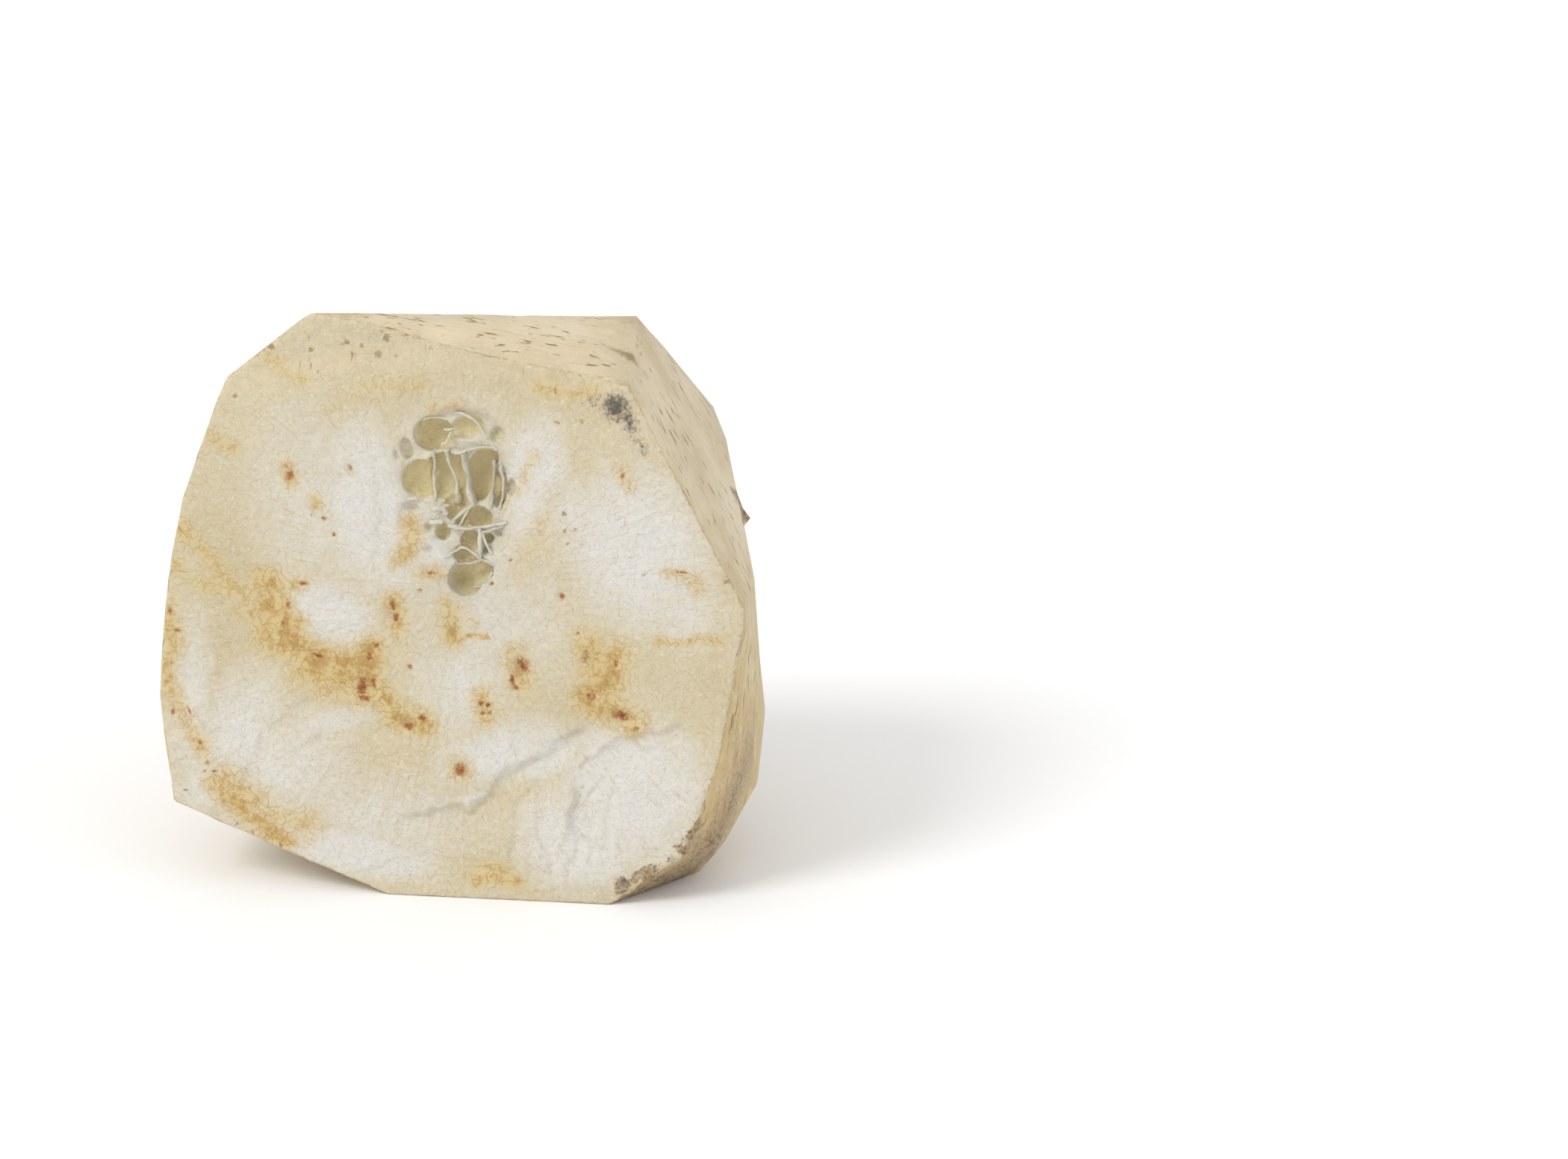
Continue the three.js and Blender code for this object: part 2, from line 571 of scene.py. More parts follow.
# %% Brush one: swollen, wavy flats
SWELL = 1.1
WAVE = 0.35
EDGE_ROUND = 0.25
HOLLOW_SIDE = 16
HOLLOW_TALL = 24
HOLLOW_MIDDLE = 82
HOLLOW_BACK = 13
SOFT_ZONE = (1.0, 82.0, 36.0, 54.0)
CROWN_ROUND = 0.9
CROWN_REACH = 7.0
CROWN_LEFT = (-46, -30)
CROWN_RIGHT = (6, 24)
CROWN_EDGE = (
    # across, up, deep along the soft front edge of the crown's flat
    (-44.0, 102.0, 0.0),
    (-30.0, 107.5, 0.0),
    (-13.3, 109.8, 0.0),
    (1.8, 110.8, 0.0),
    (16.0, 107.2, 0.0),
    (32.7, 104.9, 0.0),
)

points = read_points(flesh.data)
normals = read_normals(flesh.data)
across, up, deep = cut_places(points)
from_edge = knife_distance(points)
in_hollow = ease(deep, 0.5, 1.2) * (np.abs(across) < HOLLOW_SIDE)
in_hollow *= (np.abs(up - HOLLOW_MIDDLE) < HOLLOW_TALL) * (deep < HOLLOW_BACK)
on_face = by_cut(points) * (deep < 1.2)
on_side = (1 - on_face) * (1 - in_hollow)
waves = lumps(points, 24 * MM, 1) * WAVE + lumps(points, 9 * MM, 2) * WAVE * 0.4
by_pith = ease(oval(across, up, *SOFT_ZONE), 0, 0.35) * (deep < HOLLOW_BACK + 1)
push = (ease(from_edge, 0, 16) * SWELL + waves) * (on_side + on_face * 0.5) * (1 - by_pith)
crown_away = path_distance(np.stack([across, up, deep], axis=1), CROWN_EDGE)
crown_near = (1 - ease(crown_away, 0, CROWN_REACH)) * (1 - ease(across, *CROWN_RIGHT))
crown_near *= ease(across, *CROWN_LEFT)
chipped = 0.6 + 0.8 * lumps(points, 1.8 * MM, 14)
push -= (1 - ease(from_edge, 0, 1.3)) * EDGE_ROUND * chipped
push -= crown_near * CROWN_ROUND
push *= ease(points[:, 2], 0.1 * MM, 2 * MM)
print("points beside the hollow:", int(in_hollow.sum()))

# %% [markdown]
# ## Torn flesh on the cut face
#
# The half was not cut clean through: at the lower right the flesh tore away and left a
# step, whiter and lower than the rest, with soft ripples that run down to the foot. A
# step is a path with a low side. Points on the low side are pulled in by the full drop
# within a millimetre or two, and come back up slowly further away.

# %% Brush two: the torn steps and ripples
LIP_START = -0.3
LIP_WIDTH = 1.3
LONG_TEAR = (
    # across and up along the lip of the longest tear
    (-3.0, 18.6),
    (0.5, 19.3),
    (3.9, 19.4),
    (7.4, 21.9),
    (9.2, 25.9),
    (12.6, 27.9),
    (17.6, 30.5),
    (22.5, 34.4),
)
STEPS = (
    # drop, how far it fades, path; the low side is to the right of the path's run
    (1.2, 11.0, LONG_TEAR),
    (0.9, 12.0, ((24.6, 19.5), (25.6, 23.0), (26.2, 29.0), (30.2, 32.1), (34.4, 34.4), (40.5, 36.2))),
    (0.60, 3.0, ((24.0, 8.0), (25.6, 12.9), (23.6, 17.4), (25.2, 21.8), (24.2, 26.0))),
    (0.50, 2.6, ((20.0, 6.0), (18.4, 11.0), (17.2, 16.0), (17.4, 21.6))),
    (0.45, 2.4, ((27.6, 9.0), (28.0, 13.0), (26.6, 18.0), (28.4, 24.0))),
    (0.35, 2.4, ((31.0, 12.0), (31.4, 18.0), (33.0, 25.0))),
    (0.40, 2.6, ((12.0, 8.0), (12.6, 14.0), (13.4, 20.0), (17.0, 24.6))),
    (0.35, 6.0, ((-42.0, 22.0), (-38.0, 33.0), (-30.0, 38.5))),
    (0.25, 4.0, ((-30.0, 30.0), (-22.0, 36.0), (-13.0, 35.0))),
    (0.25, 4.0, ((-16.0, 68.0), (-14.6, 78.0), (-16.4, 90.0))),
    (0.25, 5.0, ((-26.0, 60.0), (-20.0, 61.6), (-15.0, 55.0))),
    (0.30, 8.0, ((-13.0, 6.5), (-5.0, 9.5), (4.0, 9.0))),
)


def torn_step(across, up, drop, fade, path):
    """How far a step pulls each point in: all of the drop at its edge, less beyond it."""
    depth = np.zeros(len(across))
    nearest = np.full(len(across), 1e9)
    place = np.stack([across, up], axis=1)
    for start, end in zip(path[:-1], path[1:]):
        start = np.array(start)
        run = np.array(end) - start
        length = np.linalg.norm(run)
        share = np.clip((place - start) @ run / length**2, 0, 1)
        away = place - start - share[:, None] * run
        distance = np.linalg.norm(away, axis=1)
        side = (away[:, 0] * run[1] - away[:, 1] * run[0]) / length
        lip = ease(side, LIP_START, drop * LIP_WIDTH - LIP_START)
        fall = lip * (1 - ease(distance, fade * 0.2, fade))
        depth = np.where(distance < nearest, fall, depth)
        nearest = np.minimum(nearest, distance)
    return depth * drop


crooked = np.stack([lumps(points, 2.6 * MM, 3), lumps(points, 2.6 * MM, 4)], axis=1)
torn = np.zeros(len(points))
for drop, fade, path in STEPS:
    torn += torn_step(across + crooked[:, 0], up + crooked[:, 1], drop, fade, path)
push -= torn * on_face
print("deepest tear in mm:", round(float((torn * on_face).max()), 2))

# %% [markdown]
# ## The grain of the cut
#
# Close up, the cut face is not smooth. Bundles of fibre run out from its middle
# like the ribs of a fan, short tears follow them, and the tan patch above the foot is
# grainy like wet sand. On the peeled flats the grain is finer and follows the growth.

# %% Brush three: fibres, sand and streaks
FAN_MIDDLE = (2.0, 64.0)
SAND = ((-8.0, 22.5, 46.0, 20.0, -6), (-20.0, 25.0, 26.0, 14.0, 10))


def fan(across, up):
    """Places stretched along lines that spread from the middle of the cut face."""
    east = across - FAN_MIDDLE[0]
    north = up - FAN_MIDDLE[1]
    reach = np.hypot(east, north) + 0.001
    ring = WIDE_PULL / reach
    return np.stack([east * ring, north * ring, reach * 0.16], axis=1)


def sandy(across, up):
    """Where the grainy tan patch is: 1 in its middle."""
    rows = [oval(across, up, *spot) for spot in SAND]
    return ease(np.maximum.reduce(rows), 0.0, 0.35)


ribs = fan(across, up)
streaks = growth(across, up, deep)
streaks[:, 2] *= 0.14
sand = sandy(across, up)
grain = lumps(ribs, 1.6, 5) * 0.10 + lumps(ribs, 0.8, 6) * 0.06 + lumps(points, 2.6 * MM, 7) * 0.12
grain += lumps(points, 1.1 * MM, 8) * (0.07 + 0.12 * sand)
push += grain * on_face * (1 - 0.8 * by_pith)
push += (lumps(streaks, 1.8, 9) * 0.07 + lumps(streaks, 0.9, 10) * 0.03) * on_side
print("sandy points:", int((sand * on_face > 0.5).sum()))

# %% [markdown]
# ## Sponge inside the pockets
#
# The walls of the pith are made of cells like the holes of a sponge. Cellular noise has
# that look: it gives the distance to the nearest of many scattered middles, so pushing
# points in near the middles leaves thin ridges between the cells. The soft flesh between
# the pockets has sunk as well, so the walls are pressed down in a few shallow basins.

# %% Brush four: the sponge
CELL = 1.5
BASINS = (
    # across, up, wide, tall, deep
    (0.6, 86.0, 26.0, 20.0, 1.9),
    (2.0, 94.4, 20.0, 12.0, 1.3),
    (3.4, 75.0, 18.0, 14.0, 1.3),
    (-5.0, 77.5, 14.0, 9.0, 0.9),
)


def cells(points, size):
    """Cellular noise: 0 in the middle of a cell, about 1 on the wall between two."""
    found = []
    for place in (points / (size * MM)).tolist():
        distance = noise.voronoi(Vector(place))[0]
        found.append(distance[1] - distance[0])
    return 1 - np.clip(np.array(found) * 1.6, 0, 1)


wall = np.flatnonzero(in_hollow > 0.3)
sponge = np.zeros(len(points))
sponge[wall] = cells(points[wall], CELL) * 0.28 + lumps(points[wall], 3.0 * MM, 11) * 0.35
sponge[wall] += lumps(points[wall], 1.2 * MM, 12) * 0.15
push += (sponge - 0.35) * in_hollow
points += normals * push[:, None] * MM
basin = np.zeros(len(points))
for spot_across, spot_up, wide, tall, dip in BASINS:
    basin = np.maximum(basin, ease(oval(across, up, spot_across, spot_up, wide, tall), 0, 0.42) * dip)
basin *= 1 - ease(deep, 1.0, 5.0)
basin *= deep < 6
points -= np.array(CUT_OUT) * basin[:, None] * MM
write_points(flesh.data, points)
print("sponge points:", len(wall), "basins:", len(BASINS))

# %% [markdown]
# ## Small features one by one
#
# Now the few things a viewer would point at. Root traces on the cut face leave little
# pits. The cut face bends in beside the bruise at its upper right corner. Low on the
# right, strips of rough brown skin were missed by the knife, and a crumb of skin still
# sticks out of the right flat.

# %% Brush five: pits, dents and rough skin
PITS = (
    # across, up, wide, tall, depth
    (-17.0, 42.6, 4.6, 6.0, 0.7),
    (-15.4, 49.8, 2.6, 4.6, 0.4),
    (14.5, 48.0, 4.8, 5.4, 0.8),
    (12.9, 44.4, 2.6, 3.6, 0.5),
    (7.1, 39.4, 3.4, 3.8, 0.5),
    (2.5, 26.4, 3.4, 3.8, 0.4),
    (0.2, 55.9, 3.4, 6.0, 0.35),
    (-8.1, 35.6, 3.4, 3.0, 0.6),
    (-5.5, 36.6, 2.4, 2.6, 0.5),
    (-26.4, 48.6, 4.6, 2.2, 0.4),
    (-11.3, 58.0, 2.4, 5.6, 0.5),
    (34.4, 38.6, 7.0, 4.0, 0.7),
    (28.0, 42.0, 5.5, 6.0, 0.5),
    (28.5, 49.5, 4.6, 5.0, 0.5),
    (22.3, 62.7, 2.2, 2.4, 0.4),
    (-32.4, 85.1, 3.6, 3.2, 0.4),
    (46.4, 67.6, 5.0, 3.0, 0.3),
    (34.6, 100.0, 6.0, 5.0, 0.6),
)
SKIN_STRIPS = (
    # reach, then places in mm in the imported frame, along the skin that was left
    (2.0, ((35.0, -39.9, 3.6), (36.2, -39.4, 4.6))),
    (2.0, ((40.2, -38.8, 6.0), (40.9, -38.6, 6.6))),
    (2.6, ((46.6, -37.4, 12.4), (48.0, -37.0, 14.0))),
    (2.0, ((50.4, -36.0, 17.6), (50.9, -35.6, 18.6))),
    (1.6, ((36.2, -39.4, 4.6), (44.0, -38.2, 9.4), (48.4, -37.0, 14.4), (50.9, -35.6, 18.6))),
    (1.7, ((43.6, -37.2, 6.4), (46.4, -36.6, 9.4), (48.4, -36.6, 12.4))),
    (2.2, ((38.6, -35.6, 2.2), (44.0, -33.6, 3.6), (48.4, -32.0, 6.6), (51.8, -31.4, 11.4))),
    (2.6, ((41.0, -29.5, 0.8), (48.6, -27.0, 4.0), (54.0, -23.0, 9.0))),
    (1.7, ((54.4, 2.6, 72.4), (54.9, 4.0, 69.4), (54.8, 4.0, 67.4))),
)
NUB = ((54.4, 3.2, 72.6), (55.0, 4.2, 69.4), (54.8, 4.0, 67.0))
NUB_REACH = 2.3
NUB_RISE = 1.0
SKIN_SEED = 20

points = read_points(flesh.data)
normals = read_normals(flesh.data)
across, up, deep = cut_places(points)
places = points / MM
push = np.zeros(len(points))
face = by_cut(points) * (deep < 4)
for spot_across, spot_up, wide, tall, depth in PITS:
    hole = oval(across, up, spot_across, spot_up, wide * 1.25, tall * 1.25)
    push -= ease(hole, 0, 0.7) * depth * face * (0.8 + 0.4 * np.sin(across * 5) * np.sin(up * 4))


def skin_left(places):
    """How surely a place still has skin: 1 in the middle of a strip, broken by noise."""
    left = np.full(len(places), -9.0)
    for reach, path in SKIN_STRIPS:
        left = np.maximum(left, 1 - path_distance(places, path) / reach)
    near = np.flatnonzero(left > -1)
    broken = lumps(places[near], 3.0, SKIN_SEED) * 0.45
    left[near] += broken + lumps(places[near], 1.2, SKIN_SEED + 1) * 0.25
    return ease(left, 0.05, 0.4)


side = 1 - face
rough_skin = skin_left(places) * (0.35 + 0.65 * side)
skin_points = np.flatnonzero(rough_skin > 0.01)
bark = lumps(places[skin_points], 1.5, 22) * 0.4 + lumps(places[skin_points], 3.4, 23) * 0.5
push[skin_points] += (bark * 0.6 + 0.25) * rough_skin[skin_points]
nub_near = 1 - path_distance(places, NUB) / NUB_REACH
push += ease(nub_near, 0, 0.7) * NUB_RISE
push *= ease(places[:, 2], 0.2, 1.2)
points += normals * push[:, None] * MM
lowest = points[:, 2] < 0
points[lowest, 2] = 0
write_points(flesh.data, points)
print("skin points:", len(skin_points))

# %% [markdown]
# ## Fewer faces where nothing happens
#
# The skin is far finer than the flats need, so it is thinned. A group of weights tells
# the thinning where it may take most: a full weight on the peeled flats, less on the
# cut face, and next to none in the pith, where every fold counts.

# %% The thinning
MOST_TRIANGLES = 186_000
FINE_ZONE = (0.0, 82.0, 44.0, 62.0)
WEIGHT_STEPS = 8
weights = np.clip(1 - in_hollow - 0.55 * on_face, 0.02, 1)
beside_hollow = oval(across, up, *FINE_ZONE) > 0
weights[beside_hollow & (deep < 3)] *= 0.3
thin_group = flesh.vertex_groups.new(name="may_thin")
for level in range(1, WEIGHT_STEPS + 1):
    chosen = np.flatnonzero(np.ceil(weights * WEIGHT_STEPS) == level)
    thin_group.add(chosen.tolist(), level / WEIGHT_STEPS, "REPLACE")
only(flesh)
triangles = sum(len(face.vertices) - 2 for face in flesh.data.polygons)
thinning = flesh.modifiers.new("thinning", "DECIMATE")
thinning.ratio = MOST_TRIANGLES / triangles
thinning.vertex_group = thin_group.name
thinning.vertex_group_factor = 0.25
bpy.ops.object.modifier_apply(modifier=thinning.name)
flesh.vertex_groups.clear()
print("triangles:", triangles, "->", len(flesh.data.polygons))

# %% [markdown]
# ## Fine fibres
#
# Last come the hair-thin fibres: pale threads across the pockets, a few crumbs of torn
# pith, and small wet-looking flecks beside the marks. Each is a closed tube a few
# tenths of a millimetre thick whose ends are buried in the flesh.

# %% The fibres
FIBRES = (
    # thickness, depth of its section, then places across, up, deep
    (0.30, 0.3, ((-5.9, 97.0, 0.5), (-3.5, 97.9, 0.1), (-1.2, 97.4, 0.6))),
    (0.35, 0.5, ((0.8, 98.6, 0.5), (3.8, 98.4, 0.0), (6.0, 96.8, 0.1), (6.6, 94.4, 0.6))),
    (0.30, 0.3, ((-1.6, 95.1, 1.2), (-0.4, 95.5, 0.3), (0.6, 95.7, 0.6))),
    (0.35, 0.4, ((-2.2, 92.0, 0.9), (-0.7, 92.7, 0.4), (-0.1, 94.8, 0.9))),
    (0.45, 1.6, ((0.2, 90.7, 1.0), (4.6, 91.5, 0.5), (6.6, 92.6, 0.4), (8.9, 91.4, 0.9))),
    (0.60, 3.2, ((2.2, 91.2, 1.8), (2.5, 88.0, 2.4), (3.1, 84.4, 2.6), (4.3, 79.8, 1.8))),
    (
        0.70,
        1.2,
        ((-1.2, 91.0, 0.8), (-1.1, 88.9, 1.6), (0.2, 86.3, 2.6), (0.6, 83.0, 3.8), (0.8, 80.0, 4.6)),
    ),
    (0.40, 1.6, ((-3.6, 90.6, 2.6), (-4.2, 87.0, 3.6), (-4.0, 83.0, 3.6), (-3.4, 80.4, 2.4))),
    (0.35, 1.8, ((8.3, 89.2, 1.5), (8.5, 86.6, 1.6), (8.4, 83.4, 1.6), (7.6, 79.6, 1.4))),
    (0.35, 1.4, ((9.6, 88.4, 0.9), (10.6, 86.0, 0.9), (10.7, 83.4, 0.9), (9.8, 79.6, 0.9))),
    (0.45, 0.9, ((-0.4, 75.7, 0.8), (3.6, 75.3, 0.3), (6.4, 75.5, 0.3), (11.2, 77.2, 0.6))),
    (0.30, 0.5, ((5.4, 74.4, 0.8), (8.2, 75.6, 0.2), (10.8, 76.4, 0.6))),
    (0.25, 0.3, ((7.0, 74.8, 0.6), (9.6, 76.0, 0.1), (12.4, 78.0, 0.5))),
    (0.55, 1.0, ((5.8, 75.4, 0.8), (5.8, 72.0, 0.4), (6.0, 69.2, 0.8))),
    (0.40, 0.5, ((6.2, 74.8, 0.7), (6.8, 72.2, 0.2), (8.1, 70.4, 0.6))),
    (0.45, 0.8, ((-1.3, 68.2, 0.6), (0.9, 71.7, 0.2), (2.8, 71.9, 0.2), (6.1, 69.3, 0.3), (8.6, 68.2, 0.6))),
    (0.30, 0.6, ((0.0, 68.4, 1.8), (2.5, 67.8, 1.2), (3.6, 67.9, 1.1), (5.6, 69.0, 1.6))),
    (0.45, 0.5, ((4.6, 63.2, 3.0), (6.3, 63.6, 1.1), (7.7, 64.7, 0.4), (8.5, 66.8, 0.6))),
    (0.30, 0.7, ((4.6, 81.0, 1.6), (2.9, 78.4, 1.0), (1.2, 75.0, 0.9))),
    (0.55, 0.5, ((-4.4, 76.6, 0.6), (-3.0, 76.7, -0.1), (-1.8, 76.5, 0.3))),
    (0.90, 0.7, ((-3.3, 79.0, 0.6), (-2.4, 79.9, -0.2), (-1.4, 79.3, -0.1), (-1.4, 78.0, 0.6))),
    (0.60, 0.5, ((-2.6, 78.6, 0.2), (-1.5, 80.5, 0.0), (-0.8, 79.8, 0.9))),
    (0.60, 0.4, ((-9.4, 80.7, 0.5), (-8.2, 81.2, -0.1), (-7.2, 80.9, 0.5))),
    (0.50, 0.4, ((-10.6, 36.9, 0.5), (-9.6, 36.2, -0.4), (-8.6, 35.2, 0.4))),
    (0.30, 0.3, ((10.2, 32.1, 0.8), (13.4, 31.6, 0.0), (17.2, 32.8, 0.5))),
    (0.30, 0.3, ((36.0, 93.0, 0.6), (37.4, 92.4, -0.4), (38.6, 93.0, 0.4))),
    (0.30, 0.3, ((33.8, 97.6, 0.6), (35.0, 96.6, -0.4), (36.2, 96.0, 0.4))),
)

before_fibres = len(flesh.data.vertices)
fine = joined([strand(places, thickness, depth, 1.8) for thickness, depth, places in FIBRES])
points = read_points(fine.data)
bends = []
for seed in (40, 41, 42):
    bends.append(lumps(points, 2.2 * MM, seed) * 0.5 + lumps(points, 0.8 * MM, seed) * 0.16)
write_points(fine.data, points + np.stack(bends, axis=1) * MM)
flesh = joined([flesh, fine])
flesh.name = "peeled_root_half"
only(flesh)
bpy.ops.object.shade_smooth()
print("fibres:", len(FIBRES), "and now", len(flesh.data.polygons), "faces")

# %% [markdown]
# ## Saying what each point is
#
# The material must know where the flesh is white, rusty or bruised. We write that down
# on the mesh as named attributes, one number for each point, drawn with the same ovals
# and paths as the brushes. Each number fades out softly. The material adds fine noise
# to it before deciding, so a soft mark gets a crisp, ragged rim of its own.

# %% Marks on the cut face
RUST = (
    # across, up, wide, tall, turn, strength
    (-17.6, 42.6, 2.6, 5.8, -8, 1.0),
    (-15.4, 43.6, 2.0, 4.4, 10, 0.8),
    (-17.2, 40.3, 3.6, 1.8, -10, 1.0),
    (-14.7, 51.2, 2.6, 1.2, 50, 1.0),
    (-16.0, 48.9, 1.6, 3.2, -10, 1.0),
    (-26.6, 48.5, 3.8, 1.3, -16, 1.0),
    (-29.6, 50.2, 2.2, 0.8, -16, 0.7),
    (-11.6, 59.4, 1.6, 3.6, 20, 0.9),
    (-10.8, 57.0, 1.8, 2.6, 0, 1.1),
    (-29.5, 63.1, 3.2, 1.3, 4, 0.9),
    (-32.6, 58.8, 1.6, 3.0, 8, 0.7),
    (-33.4, 54.9, 1.2, 1.6, -20, 0.8),
    (-7.9, 47.3, 1.5, 2.0, 30, 1.0),
    (-8.2, 35.0, 2.6, 2.4, 40, 1.0),
    (-5.4, 36.7, 2.4, 2.2, 10, 1.0),
    (-10.6, 36.4, 2.4, 1.6, -30, 0.6),
    (14.8, 48.2, 3.4, 4.6, 24, 0.85),
    (12.7, 45.2, 1.2, 3.4, 6, 1.0),
    (13.4, 43.6, 2.2, 1.4, -20, 1.0),
    (6.4, 40.2, 1.7, 1.7, 0, 1.0),
    (7.9, 39.9, 1.7, 1.9, 0, 1.0),
    (6.8, 38.2, 1.6, 1.6, 0, 0.8),
    (8.2, 38.4, 1.4, 1.6, 0, 0.9),
    (2.5, 26.4, 3.6, 3.8, 0, 0.95),
    (22.4, 62.7, 1.8, 1.7, 0, 1.0),
    (25.7, 55.4, 1.3, 1.3, 0, 0.7),
    (33.4, 49.6, 1.6, 3.0, 0, 0.8),
    (34.6, 39.0, 5.4, 2.6, -18, 1.0),
    (37.4, 36.4, 2.2, 1.2, 20, 0.9),
    (28.2, 42.6, 3.4, 4.4, 30, 0.55),
    (27.4, 50.6, 3.6, 4.4, 20, 0.5),
    (46.0, 68.6, 5.4, 0.9, -4, 0.8),
    (47.8, 66.2, 2.6, 1.0, 60, 0.5),
    (-32.4, 85.0, 3.2, 2.6, -10, 0.8),
    (-33.0, 87.0, 1.2, 2.2, 10, 0.5),
    (-25.4, 76.5, 1.6, 1.0, 0, 0.9),
    (-28.0, 77.0, 0.9, 1.4, 0, 0.6),
    (-23.4, 73.4, 1.0, 1.8, -30, 0.8),
    (-4.0, 66.3, 3.6, 1.0, 0, 0.7),
    (-6.1, 62.7, 1.4, 1.3, 0, 0.8),
    (12.0, 69.4, 1.3, 1.3, 0, 0.6),
    (-56.6, 56.4, 1.8, 3.0, 0, 0.7),
    (-55.0, 52.4, 3.0, 1.2, 0, 0.7),
    (-56.2, 45.6, 1.2, 1.6, 0, 0.7),
    (-55.9, 35.6, 1.4, 1.8, 0, 0.8),
    (-52.6, 36.2, 1.0, 3.0, 24, 0.7),
    (-50.4, 29.8, 1.8, 2.2, 0, 0.8),
    (-48.8, 25.6, 1.4, 1.4, 0, 0.8),
    (-49.3, 23.9, 1.4, 0.7, 40, 0.9),
    (-47.4, 24.0, 2.6, 0.8, 16, 0.6),
    (20.6, 104.0, 1.6, 3.4, 0, 0.6),
    (21.1, 97.7, 1.6, 1.4, 0, 0.5),
    (26.0, 97.9, 1.6, 1.4, 0, 0.6),
    (34.2, 87.4, 1.4, 3.0, 0, 0.6),
    (8.2, 64.6, 1.6, 1.1, 20, 0.7),
)
OCHRE = (
    # strength, reach, path across and up
    (1.0, 4.2, ((-37.0, 62.0), (-35.0, 57.0), (-33.0, 53.6), (-36.6, 53.0))),
    (1.0, 4.0, ((-36.6, 53.0), (-31.0, 50.0), (-26.4, 47.2), (-21.0, 46.2), (-16.4, 47.4))),
    (0.8, 5.0, ((-28.0, 45.4), (-22.0, 43.6), (-17.0, 43.0))),
    (0.9, 3.4, ((-16.0, 50.5), (-16.4, 44.0), (-13.0, 40.0), (-9.6, 36.6), (-5.2, 36.0))),
    (0.7, 2.6, ((-11.2, 60.4), (-10.6, 54.6))),
    (0.6, 2.0, ((-29.5, 63.2), (-31.5, 62.6))),
    (0.8, 3.0, ((0.0, 57.6), (0.6, 53.6))),
    (0.5, 1.6, ((4.0, 57.2), (5.0, 56.6))),
    (1.0, 0.7, ((3.6, 54.0), (7.6, 53.9))),
    (0.7, 3.4, ((13.4, 50.0), (14.6, 45.0))),
    (0.7, 2.8, ((6.4, 41.6), (7.4, 37.6))),
    (0.7, 2.9, ((2.2, 27.0), (2.8, 25.8))),
    (0.9, 3.6, ((27.6, 52.0), (29.6, 48.6), (32.4, 47.0), (29.0, 43.4))),
    (0.9, 3.8, ((33.4, 50.4), (32.0, 46.0), (27.6, 41.6), (33.6, 39.2), (37.0, 37.6))),
    (0.6, 1.8, ((25.6, 55.0), (26.2, 53.0))),
    (0.7, 1.1, ((41.6, 54.6), (46.0, 54.0), (50.0, 55.4), (54.3, 55.0))),
    (0.5, 2.0, ((43.4, 68.4), (48.6, 67.6), (49.6, 65.0))),
    (0.6, 1.9, ((34.0, 88.6), (35.6, 85.4))),
    (0.6, 2.2, ((-32.6, 86.6), (-32.0, 83.8))),
    (0.6, 2.0, ((-27.2, 80.6), (-26.8, 78.8))),
    (0.45, 1.8, ((-20.4, 87.2), (-20.2, 86.4))),
    (0.85, 2.6, ((-8.1, 75.8), (-7.6, 72.6), (-9.0, 70.0))),
    (0.6, 1.6, ((-11.0, 68.4), (-11.6, 67.4))),
    (0.6, 2.2, ((-5.2, 66.4), (-2.6, 66.2))),
    (0.6, 2.4, ((-1.0, 60.2), (1.6, 59.0))),
    (0.9, 2.8, ((-47.6, 21.6), (-43.6, 18.0), (-38.6, 13.6), (-33.0, 10.4))),
    (0.6, 4.6, ((-45.0, 22.0), (-36.0, 16.4), (-29.0, 13.6))),
    (0.55, 3.0, ((-57.0, 74.0), (-52.0, 71.0), (-45.0, 63.5), (-40.0, 58.6))),
    (0.5, 2.6, ((-56.0, 66.0), (-50.0, 62.0), (-44.0, 60.4))),
    (0.6, 3.0, ((-57.4, 58.0), (-55.6, 50.0), (-57.4, 44.0), (-54.0, 36.0), (-50.4, 28.6))),
    (0.55, 2.4, ((-42.0, 56.8), (-34.0, 56.8), (-30.0, 55.0))),
    (0.6, 1.6, ((5.0, 5.6), (7.0, 6.6), (11.0, 6.4), (14.6, 4.0))),
    (0.9, 1.7, ((5.6, 3.6), (9.0, 4.6), (12.6, 3.8))),
    (0.5, 2.2, ((-50.0, 93.6), (-44.0, 90.0))),
    (0.5, 2.4, ((-37.0, 108.0), (-30.0, 104.4))),
    (0.5, 2.4, ((18.0, 104.6), (23.0, 103.0), (28.0, 104.4))),
    (0.5, 1.6, ((-4.0, 99.4), (2.0, 100.4))),
    (0.45, 2.0, ((10.0, 80.4), (14.0, 84.6), (16.6, 90.6))),
    (0.35, 3.0, ((14.0, 66.0), (17.0, 74.0), (20.0, 82.0))),
    (0.35, 3.0, ((-24.0, 98.0), (-18.0, 103.0), (-6.0, 104.0))),
)
